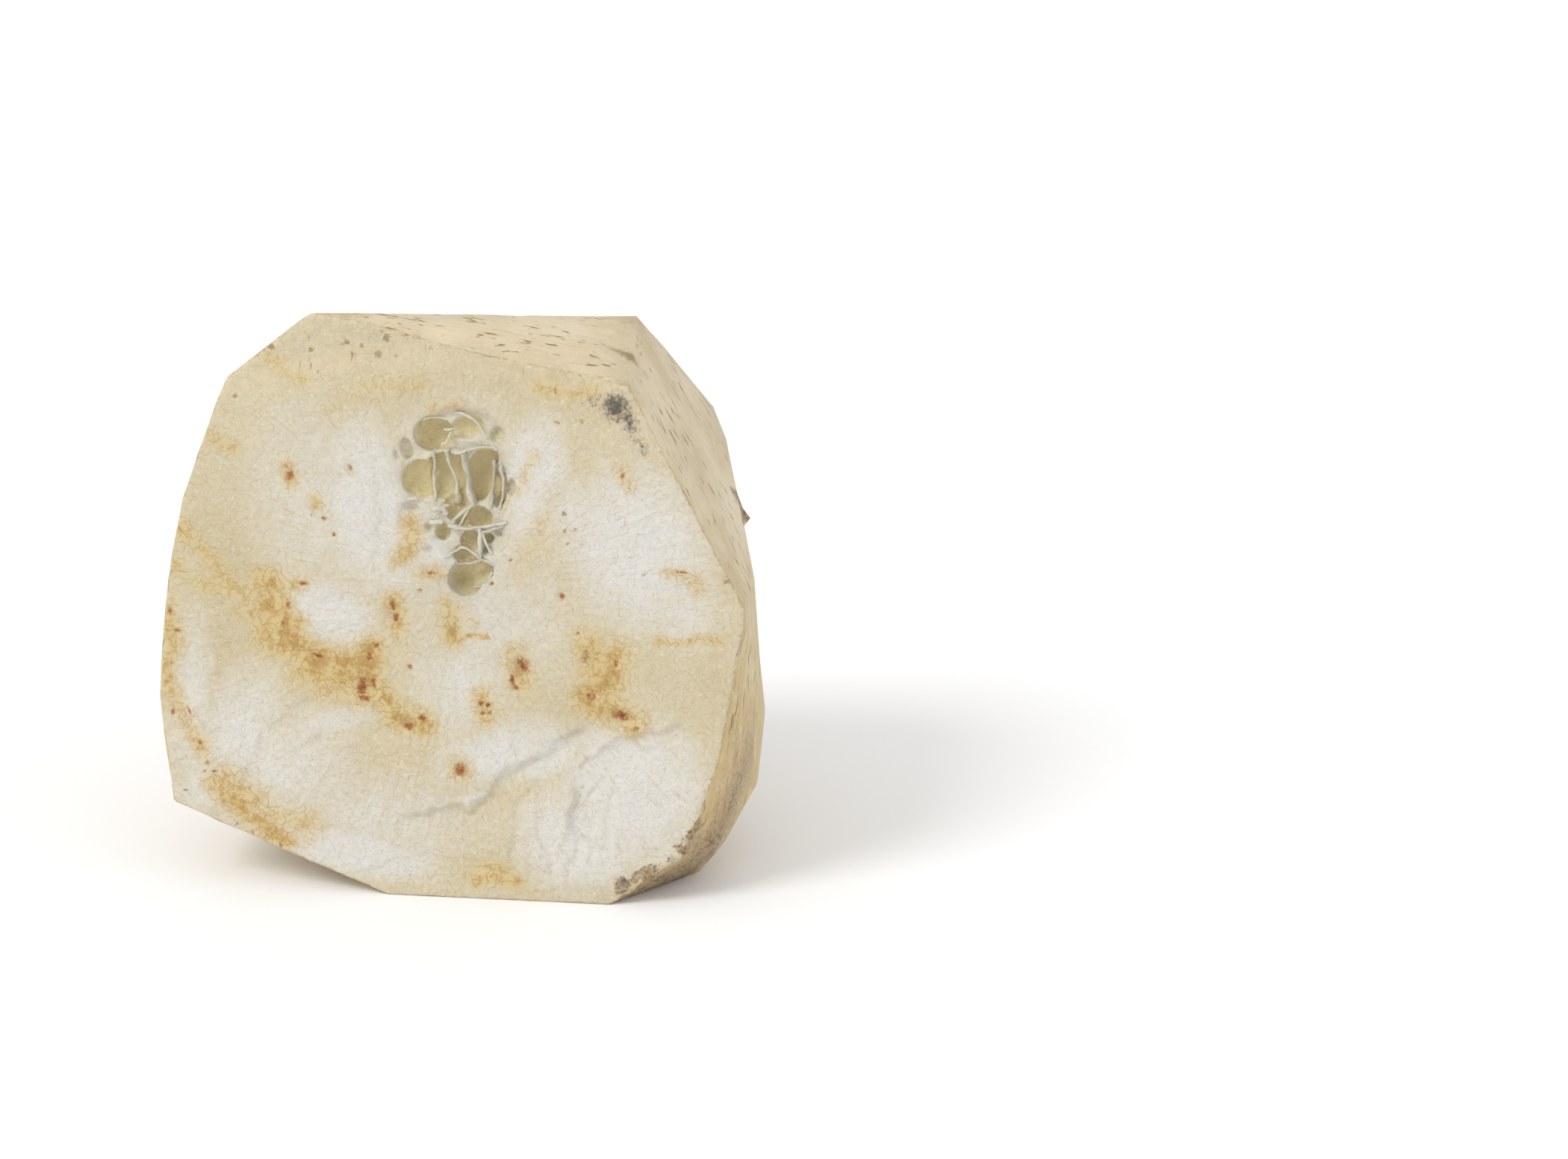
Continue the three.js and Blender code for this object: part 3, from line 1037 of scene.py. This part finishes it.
WHITE = (
    # across, up, wide, tall, turn, strength
    (-17.0, 80.0, 22.0, 42.0, 6, 1.0),
    (-24.0, 57.5, 24.0, 15.0, -24, 0.9),
    (-12.0, 66.0, 16.0, 14.0, 0, 0.5),
    (1.0, 79.0, 38.0, 56.0, 0, 0.55),
    (16.0, 86.0, 16.0, 32.0, -12, 0.95),
    (37.0, 73.0, 34.0, 40.0, 30, 1.0),
    (24.0, 80.0, 24.0, 18.0, 0, 0.5),
    (47.0, 60.0, 20.0, 18.0, 0, 0.5),
    (2.0, 44.0, 22.0, 26.0, 0, 0.55),
    (-2.0, 71.0, 26.0, 20.0, 0, 0.6),
    (20.0, 30.0, 20.0, 11.0, 30, 0.9),
    (37.0, 24.0, 36.0, 38.0, 40, 1.0),
    (26.0, 13.0, 32.0, 26.0, 0, 1.0),
    (10.0, 30.0, 34.0, 16.0, 20, 0.8),
    (-24.0, 35.0, 26.0, 8.0, 14, 0.5),
    (5.0, 20.5, 9.0, 3.0, 24, 0.9),
    (-50.0, 21.0, 14.0, 14.0, -30, 0.6),
    (-42.0, 32.0, 22.0, 34.0, -10, 0.7),
    (-20.0, 8.5, 44.0, 12.0, -8, 1.0),
    (-52.0, 36.0, 12.0, 50.0, 0, 0.6),
    (-34.0, 24.0, 40.0, 34.0, 20, 0.55),
    (-14.0, 16.0, 60.0, 24.0, 0, 0.4),
    (8.0, 58.0, 40.0, 40.0, 0, 0.4),
    (-26.0, 80.0, 36.0, 50.0, 10, 0.4),
    (-8.0, 8.6, 24.0, 4.0, 6, 0.5),
    (0.0, 100.6, 14.0, 3.0, 0, 0.35),
)
YELLOW = (
    # across, up, wide, tall, turn, strength
    (-45.0, 66.0, 30.0, 60.0, 14, 0.8),
    (-48.0, 44.0, 22.0, 44.0, 0, 0.9),
    (-30.0, 28.0, 56.0, 42.0, 20, 0.3),
    (-12.0, 10.0, 70.0, 22.0, -8, 0.35),
    (-24.0, 44.0, 30.0, 20.0, 0, 0.7),
    (24.0, 40.0, 34.0, 26.0, 0, 0.5),
    (42.0, 60.0, 30.0, 24.0, 0, 0.3),
    (0.0, 104.0, 100.0, 24.0, 0, 0.5),
    (53.0, 44.0, 12.0, 44.0, 0, 0.5),
    (30.0, 4.0, 26.0, 9.0, 4, 0.8),
)
BRUISE = (
    # across, up, wide, tall, turn, strength
    (32.6, 101.2, 7.6, 8.0, -30, 1.0),
    (35.4, 98.4, 4.4, 8.6, 24, 0.65),
    (38.0, 93.6, 3.0, 8.0, 26, 0.4),
    (28.4, 102.4, 8.0, 4.0, 0, 0.35),
    (35.2, 4.6, 3.8, 4.2, 0, 1.0),
    (40.0, 7.0, 1.8, 2.2, 0, 0.8),
    (48.9, 14.4, 2.6, 2.8, 0, 0.9),
    (51.2, 18.6, 2.0, 3.4, 0, 0.7),
    (45.0, 10.0, 2.4, 2.0, 0, 0.6),
)
DOT_SPREAD = 1.6
DOTS = (
    # across, up, size: small brown dots near the crown and the edges
    (-21.2, 112.0, 1.2), (-18.3, 111.3, 1.0), (-20.0, 109.6, 1.0), (-14.9, 109.8, 1.6), (-13.3, 113.2, 1.8),
    (-9.9, 114.1, 1.3), (-7.8, 113.8, 1.0), (-14.1, 114.4, 0.9), (-11.2, 109.5, 0.8), (-28.4, 110.1, 1.2),
    (-28.8, 112.6, 0.9), (-36.3, 110.6, 1.6), (-4.5, 111.4, 1.0), (-43.5, 100.2, 1.4), (-27.0, 106.0, 0.8),
    (-20.2, 87.0, 1.0), (22.6, 79.4, 0.9), (25.0, 76.4, 0.7), (22.9, 76.0, 0.9), (23.4, 73.4, 0.8),
    (39.0, 68.0, 0.8), (55.2, 67.0, 1.2), (11.6, 64.4, 0.6), (-41.0, 24.8, 0.6), (-53.4, 19.6, 0.9),
    (-43.0, 13.2, 0.9), (-39.6, 11.6, 0.9), (-36.8, 11.2, 0.7), (-45.6, 17.6, 0.8), (-34.0, 9.4, 0.8),
)

SOFT_REACH = 1.5
HOLLOW_ZONE = (0.0, 81.0, 36.0, 52.0)
CROWN_BAND = (5, 12)
CROWN_END = (26, 36)


def painted(across, up, spots):
    """The strongest of many oval spots at each point."""
    value = np.zeros(len(across))
    for spot_across, spot_up, wide, tall, turn, strength in spots:
        spot = oval(across, up, spot_across, spot_up, wide, tall, turn) * strength
        value = np.maximum(value, spot)
    return value


def drawn(places, lines, soften=1.0):
    """The strongest of many soft lines at each place; soften widens their reach."""
    value = np.zeros(len(places))
    for strength, reach, path in lines:
        line = np.clip(1 - path_distance(places, path) / (reach * soften), 0, 1) * strength
        value = np.maximum(value, line)
    return value


def write_attribute(mesh, name, values, kind="FLOAT", slot="value"):
    """Writes one number, or one vector, for each point of a mesh."""
    layer = mesh.attributes.new(name, kind, "POINT")
    layer.data.foreach_set(slot, np.ascontiguousarray(values, np.float32).ravel())


mesh = flesh.data
points = read_points(mesh)
across, up, deep = cut_places(points)
fibre = np.zeros(len(points))
fibre[before_fibres:] = 1
hollow_zone = (oval(across, up, *HOLLOW_ZONE) > 0) & (deep < HOLLOW_BACK)
on_face = by_cut(points)
on_face = np.where(hollow_zone | (fibre > 0), 1, on_face)
from_edge = knife_distance(points)
crown_away = path_distance(np.stack([across, up, deep], axis=1), CROWN_EDGE)
crown_front = (1 - ease(crown_away, *CROWN_BAND)) * (1 - ease(across, *CROWN_END))
inward = np.where(on_face > 0.5, crown_away, -crown_away) + lumps(points, 4 * MM, 30) * 3
soft_cut = ease(inward, -5, 5) * crown_front + on_face * (1 - crown_front)
rust = painted(across, up, RUST) * on_face
ochre = drawn(np.stack([across, up], axis=1), OCHRE, SOFT_REACH) * on_face
white = painted(across, up, WHITE) * on_face
yellow = painted(across, up, YELLOW) * on_face
bruise = painted(across, up, BRUISE) * (1 - ease(deep, 1.5, 4))
dot_spots = [(a, u, size * DOT_SPREAD, size * DOT_SPREAD, 0, 1.0) for a, u, size in DOTS]
dots = painted(across, up, dot_spots) * (deep < 1.5)
pith = np.where(hollow_zone, ease(deep, 0.4, 4.6), 0)
marks = {"rust": rust, "ochre": ochre, "white": white, "yellow": yellow, "bruise": bruise, "dots": dots}
marks.update({"pith": pith, "cut": soft_cut, "fibre": fibre, "sand": sandy(across, up) * on_face})
print("marks:", sorted(marks))

# %% [markdown]
# ## Marks on the peeled flats
#
# Where small roots grew, the peeled flats keep brown rings and crescents, some with a
# darker rim. They are scattered by a seeded chance all round the root, and each is an
# oval drawn out along the growth. The skin strips and the browned knife edges get an
# attribute as well, and so do the stretched places that the streaks follow. On the
# crown's flat the streaks run across instead, the way the knife went.

# %% Marks on the flats
TRACES = 46
EDGE_BROWNED = 2.4
CROWN_BACK = (14, 26)
CROWN_RISE = (98, 106)
CROWN_CORNER = (33, 39)
RIND = (
    # strength, reach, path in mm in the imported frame, along the browned foot of the right side
    (1.0, 9.0, ((36.0, -38.0, 2.0), (46.0, -34.0, 5.0), (52.0, -30.0, 13.0), (57.0, -22.0, 26.0))),
    (0.6, 8.0, ((57.0, -22.0, 22.0), (58.6, -19.0, 29.0))),
    (0.5, 8.0, ((30.0, 30.0, 6.0), (0.0, 40.0, 8.0), (-30.0, 30.0, 10.0))),
)
chance = random.Random(12)


def trace_marks(stretched, count):
    """Fillings and rims of small root scars, scattered over the flats."""
    fill = np.zeros(len(stretched))
    rim = np.zeros(len(stretched))
    for _ in range(count):
        turn = chance.uniform(0, 2 * math.pi)
        rise = chance.uniform(-0.9, 1.0)
        size = chance.uniform(1.0, 3.4)
        middle = (math.sin(turn) * WIDE_PULL, math.cos(turn) * WIDE_PULL, rise * LONG_PULL)
        offset = stretched - np.array(middle)
        wobble = 1 + 0.25 * np.sin(offset[:, 2] * 2.1 + turn)
        aside = np.hypot(offset[:, 0], offset[:, 1]) / (size * wobble)
        ring = np.hypot(aside, offset[:, 2] / (size * chance.uniform(1.0, 1.8)))
        fill = np.maximum(fill, np.clip(1.2 - ring, 0, 1))
        gap = 0.6 + 0.4 * np.cos(np.arctan2(offset[:, 2], offset[:, 0]) + turn * 3)
        rim = np.maximum(rim, np.clip(1 - np.abs(ring - 0.9) * 3.2, 0, 1) * gap)
    return fill, rim


stretched = growth(across, up, deep)
fill, rim = trace_marks(stretched, TRACES)
sides = 1 - on_face
marks["trace"] = fill * sides
marks["rim"] = rim * sides
fresh = 1 - 0.75 * ease(deep, 3, 9)
marks["edge"] = (1 - ease(from_edge, 0.0, EDGE_BROWNED)) * (1 - hollow_zone) * fresh
crown_side = 1 - ease(across, *CROWN_CORNER)
# The material also uses this mark to paint the crown's flat lighter: painted light from the sky above.
marks["crown"] = (1 - ease(deep, *CROWN_BACK)) * ease(up, *CROWN_RISE) * crown_side * sides
# Painted shade: the flats turn darker and browner towards the floor.
marks["low_shade"] = ease(points[:, 2], 80 * MM, 20 * MM) * sides
marks["rind"] = drawn(points / MM, RIND) * sides
marks["skin"] = skin_left(points / MM) * np.where(on_face > 0.5, 0.5, 1.0)
for mark_name, values in marks.items():
    write_attribute(mesh, mark_name, values)
for mark_name, values in (("growth", stretched), ("fan", fan(across, up))):
    write_attribute(mesh, mark_name, values, "FLOAT_VECTOR", "vector")
print("root scars:", TRACES, "with", int((marks["rim"] > 0.3).sum()), "points on their rims")
print("points on browned edges:", int((marks["edge"] > 0.5).sum()))

# %% [markdown]
# ## Small helpers for the material
#
# A material is a chain of mixes: start from plain flesh, then lay each stain over what
# is below it. Writing that as bare nodes is long, so a few helpers make the common
# links: a noise of a given size in millimetres, an attribute plus noise cut to a crisp
# mask, a colour laid over another, and a stain, which is those last two together.

# %% The node helpers
flesh_look = bpy.data.materials.new("raw_root_flesh")
flesh_look.use_nodes = True
tree = flesh_look.node_tree
shader = tree.nodes["Principled BSDF"]


def rgb(red, green, blue):
    """A colour given as seen on a screen, 0 to 255, as the shader wants it."""
    def straight(value):
        value = value / 255
        return value / 12.92 if value <= 0.04045 else ((value + 0.055) / 1.055) ** 2.4

    return (straight(red), straight(green), straight(blue), 1)


def maths(kind, first, second=0.0, clamp=False):
    """One sum of one or two numbers."""
    made = tree.nodes.new("ShaderNodeMath")
    made.operation = kind
    made.use_clamp = clamp
    for socket, value in zip(made.inputs, (first, second)):
        put(tree, socket, value)
    return made.outputs[0]


def attribute(name, output="Fac"):
    """A named attribute of the mesh."""
    made = tree.nodes.new("ShaderNodeAttribute")
    made.attribute_name = name
    return made.outputs[output]


def stretch(vector, scale):
    """A vector made longer or shorter along each of its directions."""
    made = tree.nodes.new("ShaderNodeVectorMath")
    made.operation = "MULTIPLY"
    put(tree, made.inputs[0], vector)
    made.inputs[1].default_value = scale
    return made.outputs[0]


def speckle(vector, size, detail, rough):
    """Noise from 0 to 1 with lumps about `size` mm across."""
    settings = {"Vector": vector, "Scale": 1 / size, "Detail": detail, "Roughness": rough}
    return node_in(tree, "ShaderNodeTexNoise", **settings).outputs["Fac"]


def ramp(value, low, high, to_low=0.0, to_high=1.0):
    """A soft ramp from one value to another between low and high."""
    made = tree.nodes.new("ShaderNodeMapRange")
    made.interpolation_type = "SMOOTHSTEP"
    for name, number in (("From Min", low), ("From Max", high), ("To Min", to_low), ("To Max", to_high)):
        made.inputs[name].default_value = number
    put(tree, made.inputs["Value"], value)
    return made.outputs["Result"]


def blend(first, second, share):
    """One number that goes from the first to the second as the share goes from 0 to 1."""
    made = tree.nodes.new("ShaderNodeMix")
    for index, value in ((0, share), (2, first), (3, second)):
        put(tree, made.inputs[index], value)
    return made.outputs[0]


def over(below, above, share):
    """Lays one colour over another by a share from 0 to 1."""
    made = tree.nodes.new("ShaderNodeMix")
    made.data_type = "RGBA"
    put(tree, made.inputs["Factor"], share)
    put(tree, made.inputs[6], below)
    put(tree, made.inputs[7], above)
    return made.outputs[2]


def ragged(mark, grain, amount, low, high):
    """A soft mark made crisp, with a rim broken by noise."""
    shaken = maths("ADD", mark, maths("MULTIPLY", maths("SUBTRACT", grain, 0.5), amount))
    return maths("MULTIPLY", ramp(mark, 0.0, 0.08), ramp(shaken, low, high))


def stain(below, above, mark, grain, amount, low, high, share):
    """Lays a colour over another where a mark that a grain has made ragged says so."""
    return over(below, above, maths("MULTIPLY", ragged(mark, grain, amount, low, high), share))


def threads(vector, size, width):
    """Thin wandering lines, drawn where a noise crosses its middle value."""
    wander = speckle(vector, size, 3.0, 0.5)
    return ramp(maths("ABSOLUTE", maths("SUBTRACT", wander, 0.5)), 0.0, width, 1.0, 0.0)


coordinates = tree.nodes.new("ShaderNodeTexCoord")
place = stretch(coordinates.outputs["Object"], (1 / MM, 1 / MM, 1 / MM))
fine_grain = speckle(place, 0.55, 3.0, 0.6)
crumb_grain = speckle(place, 0.9, 6.0, 0.8)
small_grain = speckle(place, 1.4, 4.0, 0.6)
middle_grain = speckle(place, 4.5, 4.0, 0.6)
large_grain = speckle(place, 16.0, 3.0, 0.5)
print("grains from 0.55 to 16 mm")

# %% [markdown]
# ## The colour of the cut flesh
#
# Raw celeriac is cream with a breath of yellow, and it goes white where water left the
# torn cells. The fan of fibres shows as faint lines, the sandy patch as a warm tan, and
# stains come last, from pale ochre to rust with a dark heart.

# %% The cut face's colours
CREAM = rgb(222, 209, 177)
YELLOW_CREAM = rgb(210, 194, 157)
WHITE_FLESH = rgb(232, 229, 222)
TAN = rgb(216, 200, 164)
OCHRE_HALO = rgb(223, 198, 136)
OCHRE_WASH = rgb(212, 180, 116)
OCHRE_STAIN = rgb(186, 144, 80)
RUST_WASH = rgb(204, 166, 110)
RUST_STAIN = rgb(176, 108, 60)
RUST_HEART = rgb(136, 74, 44)
DOT_BROWN = rgb(158, 128, 82)
# The next colour is a painted highlight: the white of glints on wet cells.
PAINTED_GLINT_WHITE = rgb(240, 236, 226)
FLESH_SHADE = rgb(196, 178, 134)

fan_way = attribute("fan", "Vector")
fan_lines = speckle(fan_way, 1.1, 5.0, 0.65)
curls = threads(place, 1.7, 0.05)
colour = over(CREAM, YELLOW_CREAM, ramp(large_grain, 0.42, 0.72, 0.0, 0.30))
colour = stain(colour, YELLOW_CREAM, attribute("yellow"), middle_grain, 0.7, 0.0, 0.9, 0.75)
sand_share = maths("MULTIPLY", attribute("sand"), ramp(small_grain, 0.3, 0.6))
colour = over(colour, TAN, maths("MULTIPLY", sand_share, 0.6))
colour = stain(colour, WHITE_FLESH, attribute("white"), middle_grain, 0.5, -0.15, 0.65, 0.92)
colour = over(colour, FLESH_SHADE, ramp(fan_lines, 0.54, 0.74, 0.0, 0.40))
colour = over(colour, FLESH_SHADE, ramp(crumb_grain, 0.53, 0.68, 0.0, 0.55))
# Painted highlight: pale specks stand for glints on wet cells.
colour = over(colour, PAINTED_GLINT_WHITE, ramp(crumb_grain, 0.46, 0.32, 0.0, 0.70))
ochre_mark = attribute("ochre")
ochre_halo = ragged(ochre_mark, middle_grain, 0.6, 0.0, 0.8)
colour = over(colour, OCHRE_HALO, maths("MULTIPLY", ochre_halo, 0.8))
patches = ramp(middle_grain, 0.42, 0.58)
ochre_wash = maths("MULTIPLY", ragged(ochre_mark, small_grain, 1.2, 0.25, 0.95), patches)
colour = over(colour, OCHRE_WASH, maths("MULTIPLY", ochre_wash, 0.95))
ochre_grain = maths("MULTIPLY", ragged(ochre_mark, small_grain, 2.2, 0.55, 1.0), patches)
colour = over(colour, OCHRE_STAIN, maths("MULTIPLY", ochre_grain, 0.55))
ochre_curls = maths("MULTIPLY", ochre_halo, curls)
colour = over(colour, OCHRE_STAIN, maths("MULTIPLY", ochre_curls, 0.55))
rust_mark = attribute("rust")
colour = stain(colour, RUST_WASH, rust_mark, small_grain, 0.9, 0.0, 0.5, 0.7)
colour = stain(colour, RUST_STAIN, rust_mark, crumb_grain, 2.6, 0.30, 0.55, 0.9)
colour = stain(colour, RUST_HEART, rust_mark, crumb_grain, 2.6, 0.70, 0.95, 0.8)
cut_colour = stain(colour, DOT_BROWN, attribute("dots"), crumb_grain, 2.8, 0.25, 0.7, 0.75)
print("nodes for the cut face:", len(tree.nodes))

# %% [markdown]
# ## The colour of the peeled flats
#
# Under the peel the flesh is a duller beige. Thin streaks and short brown dashes run
# from crown to tail, thick in some places and missing in others. Root scars, browned
# edges and the strips of skin that the knife missed go over them.

# %% The flats' colours
BEIGE = rgb(206, 187, 150)
PALE_BEIGE = rgb(224, 209, 178)
LOW_SHADE_BEIGE = rgb(200, 174, 114)
STREAK_TAN = rgb(198, 176, 134)
VEIN_GREEN = rgb(202, 194, 146)
DASH = rgb(144, 114, 74)
EDGE_BROWN = rgb(176, 148, 104)
RIND_BROWN = rgb(172, 146, 108)
RIND_DARK = rgb(106, 88, 72)
SCAR = rgb(196, 160, 100)
SCAR_RIM = rgb(146, 112, 68)
SKIN_LIGHT = rgb(176, 150, 112)
SKIN_DARK = rgb(112, 92, 74)

grown = attribute("growth", "Vector")
crown = attribute("crown")
streak = blend(
    speckle(stretch(grown, (1, 1, 0.10)), 1.2, 5.0, 0.65),
    speckle(stretch(place, (0.12, 1, 1)), 1.2, 5.0, 0.65),
    crown,
)
dash = blend(
    speckle(stretch(grown, (1, 1, 0.16)), 0.8, 1.5, 0.5),
    speckle(stretch(place, (0.20, 1, 1)), 0.8, 1.5, 0.5),
    crown,
)
crowd = speckle(place, 11.0, 2.0, 0.5)
colour = over(PALE_BEIGE, BEIGE, ramp(large_grain, 0.35, 0.65))
# Painted shade: a darker, browner beige low on the flats, near the floor.
colour = stain(colour, LOW_SHADE_BEIGE, attribute("low_shade"), large_grain, 0.8, 0.0, 0.9, 0.8)
colour = over(colour, PALE_BEIGE, ramp(middle_grain, 0.50, 0.66, 0.0, 0.6))
# Painted light: the crown's flat is laid paler, as lit from the sky above.
colour = over(colour, PALE_BEIGE, maths("MULTIPLY", crown, 0.55))
colour = over(colour, STREAK_TAN, ramp(streak, 0.50, 0.70, 0.0, 0.38))
colour = over(colour, PALE_BEIGE, ramp(streak, 0.48, 0.34, 0.0, 0.35))
colour = over(colour, DASH, ramp(crumb_grain, 0.60, 0.72, 0.0, 0.35))
veined = maths("MULTIPLY", ramp(crowd, 0.5, 0.75), ramp(streak, 0.5, 0.65, 0.0, 0.35))
colour = over(colour, VEIN_GREEN, veined)
dash_limit = ramp(crowd, 0.35, 0.65, 0.68, 0.60)
dash_share = maths("MULTIPLY", maths("SUBTRACT", dash, dash_limit), 18.0, clamp=True)
colour = over(colour, DASH, maths("MULTIPLY", dash_share, 0.9))
colour = stain(colour, EDGE_BROWN, attribute("edge"), crumb_grain, 2.0, 0.6, 1.2, 0.6)
rind_mark = attribute("rind")
rind_streak = maths("ADD", maths("MULTIPLY", streak, 0.25), maths("MULTIPLY", crumb_grain, 0.75))
colour = stain(colour, RIND_BROWN, rind_mark, rind_streak, 3.0, 0.0, 0.7, 0.85)
colour = stain(colour, RIND_DARK, rind_mark, crumb_grain, 3.0, 0.6, 1.05, 0.8)
colour = stain(colour, SCAR, attribute("trace"), small_grain, 1.0, 0.2, 0.9, 0.8)
side_colour = stain(colour, SCAR_RIM, attribute("rim"), fine_grain, 0.9, 0.25, 0.8, 0.8)
print("nodes with the flats:", len(tree.nodes))

# %% [markdown]
# ## Pith, bruise and skin over both
#
# The sponge in the pockets is a greenish khaki, because little light comes back out of
# it, with warmer specks. Fibres stay almost white. The bruise is grey with a dark heart
# and a brown halo, and the skin a rough brown.

# %% The last layers of colour
PITH_LIGHT = rgb(230, 225, 204)
PITH_DEEP = rgb(236, 220, 174)
PITH_WARM = rgb(228, 207, 152)
FIBRE_WHITE = rgb(226, 220, 202)
BRUISE_HALO = rgb(198, 178, 148)
BRUISE_GREY = rgb(152, 140, 124)
BRUISE_HEART = rgb(92, 85, 78)

colour = over(side_colour, cut_colour, ramp(attribute("cut"), 0.2, 0.8))
pith = attribute("pith")
pith_colour = over(PITH_LIGHT, PITH_DEEP, ramp(pith, 0.15, 0.75))
pith_colour = over(pith_colour, PITH_WARM, ramp(small_grain, 0.52, 0.68, 0.0, 0.55))
colour = over(colour, pith_colour, ramp(pith, 0.0, 0.22))
fibre_colour = over(FIBRE_WHITE, PITH_LIGHT, ramp(pith, 0.0, 0.6))
colour = over(colour, fibre_colour, attribute("fibre"))
bruise_mark = attribute("bruise")
colour = stain(colour, BRUISE_HALO, bruise_mark, small_grain, 0.9, 0.0, 0.6, 0.6)
colour = stain(colour, BRUISE_GREY, bruise_mark, crumb_grain, 2.6, 0.15, 0.60, 0.85)
colour = stain(colour, BRUISE_HEART, bruise_mark, crumb_grain, 3.4, 0.45, 0.80, 0.75)
skin_colour = over(SKIN_LIGHT, SKIN_DARK, ramp(crumb_grain, 0.46, 0.60))
colour = over(colour, skin_colour, ragged(attribute("skin"), fine_grain, 0.8, 0.25, 0.6))
put(tree, shader.inputs["Base Color"], colour)
print("nodes with pith, fibres, bruise and skin:", len(tree.nodes))

# %% [markdown]
# ## Wetness and fine relief
#
# Fresh flesh is damp: mostly dull, with small glints where a cell is full of water. The
# roughness therefore drops in specks. A little light travels through the flesh, which
# softens every shadow on it, and a fine bump adds the grain that is too small to model.

# %% Wetness, depth of flesh and bump
damp = maths("ADD", ramp(crumb_grain, 0.56, 0.72), rind_mark, clamp=True)
dry = ramp(middle_grain, 0.35, 0.65, 0.42, 0.58)
roughness = maths("SUBTRACT", dry, maths("MULTIPLY", damp, 0.24), clamp=True)
put(tree, shader.inputs["Roughness"], roughness)
shader.inputs["Specular IOR Level"].default_value = 0.45
shader.inputs["Subsurface Weight"].default_value = 0.22
shader.inputs["Subsurface Radius"].default_value = (1.0, 0.75, 0.45)
shader.inputs["Subsurface Scale"].default_value = 1.6 * MM
side_relief = maths("ADD", maths("MULTIPLY", streak, 0.8), maths("MULTIPLY", crumb_grain, 0.5))
face_relief = maths("ADD", maths("MULTIPLY", fan_lines, 0.5), maths("MULTIPLY", crumb_grain, 1.0))
face_relief = maths("ADD", face_relief, maths("MULTIPLY", curls, 0.25))
relief = blend(side_relief, face_relief, attribute("cut"))
bump = node_in(tree, "ShaderNodeBump", Height=relief, Strength=0.9, Distance=0.55 * MM)
put(tree, shader.inputs["Normal"], bump.outputs["Normal"])
mesh.materials.append(flesh_look)
print("material nodes:", len(tree.nodes))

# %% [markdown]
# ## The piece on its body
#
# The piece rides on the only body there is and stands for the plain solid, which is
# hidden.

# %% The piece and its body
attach(flesh, "root")
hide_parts(node_name)
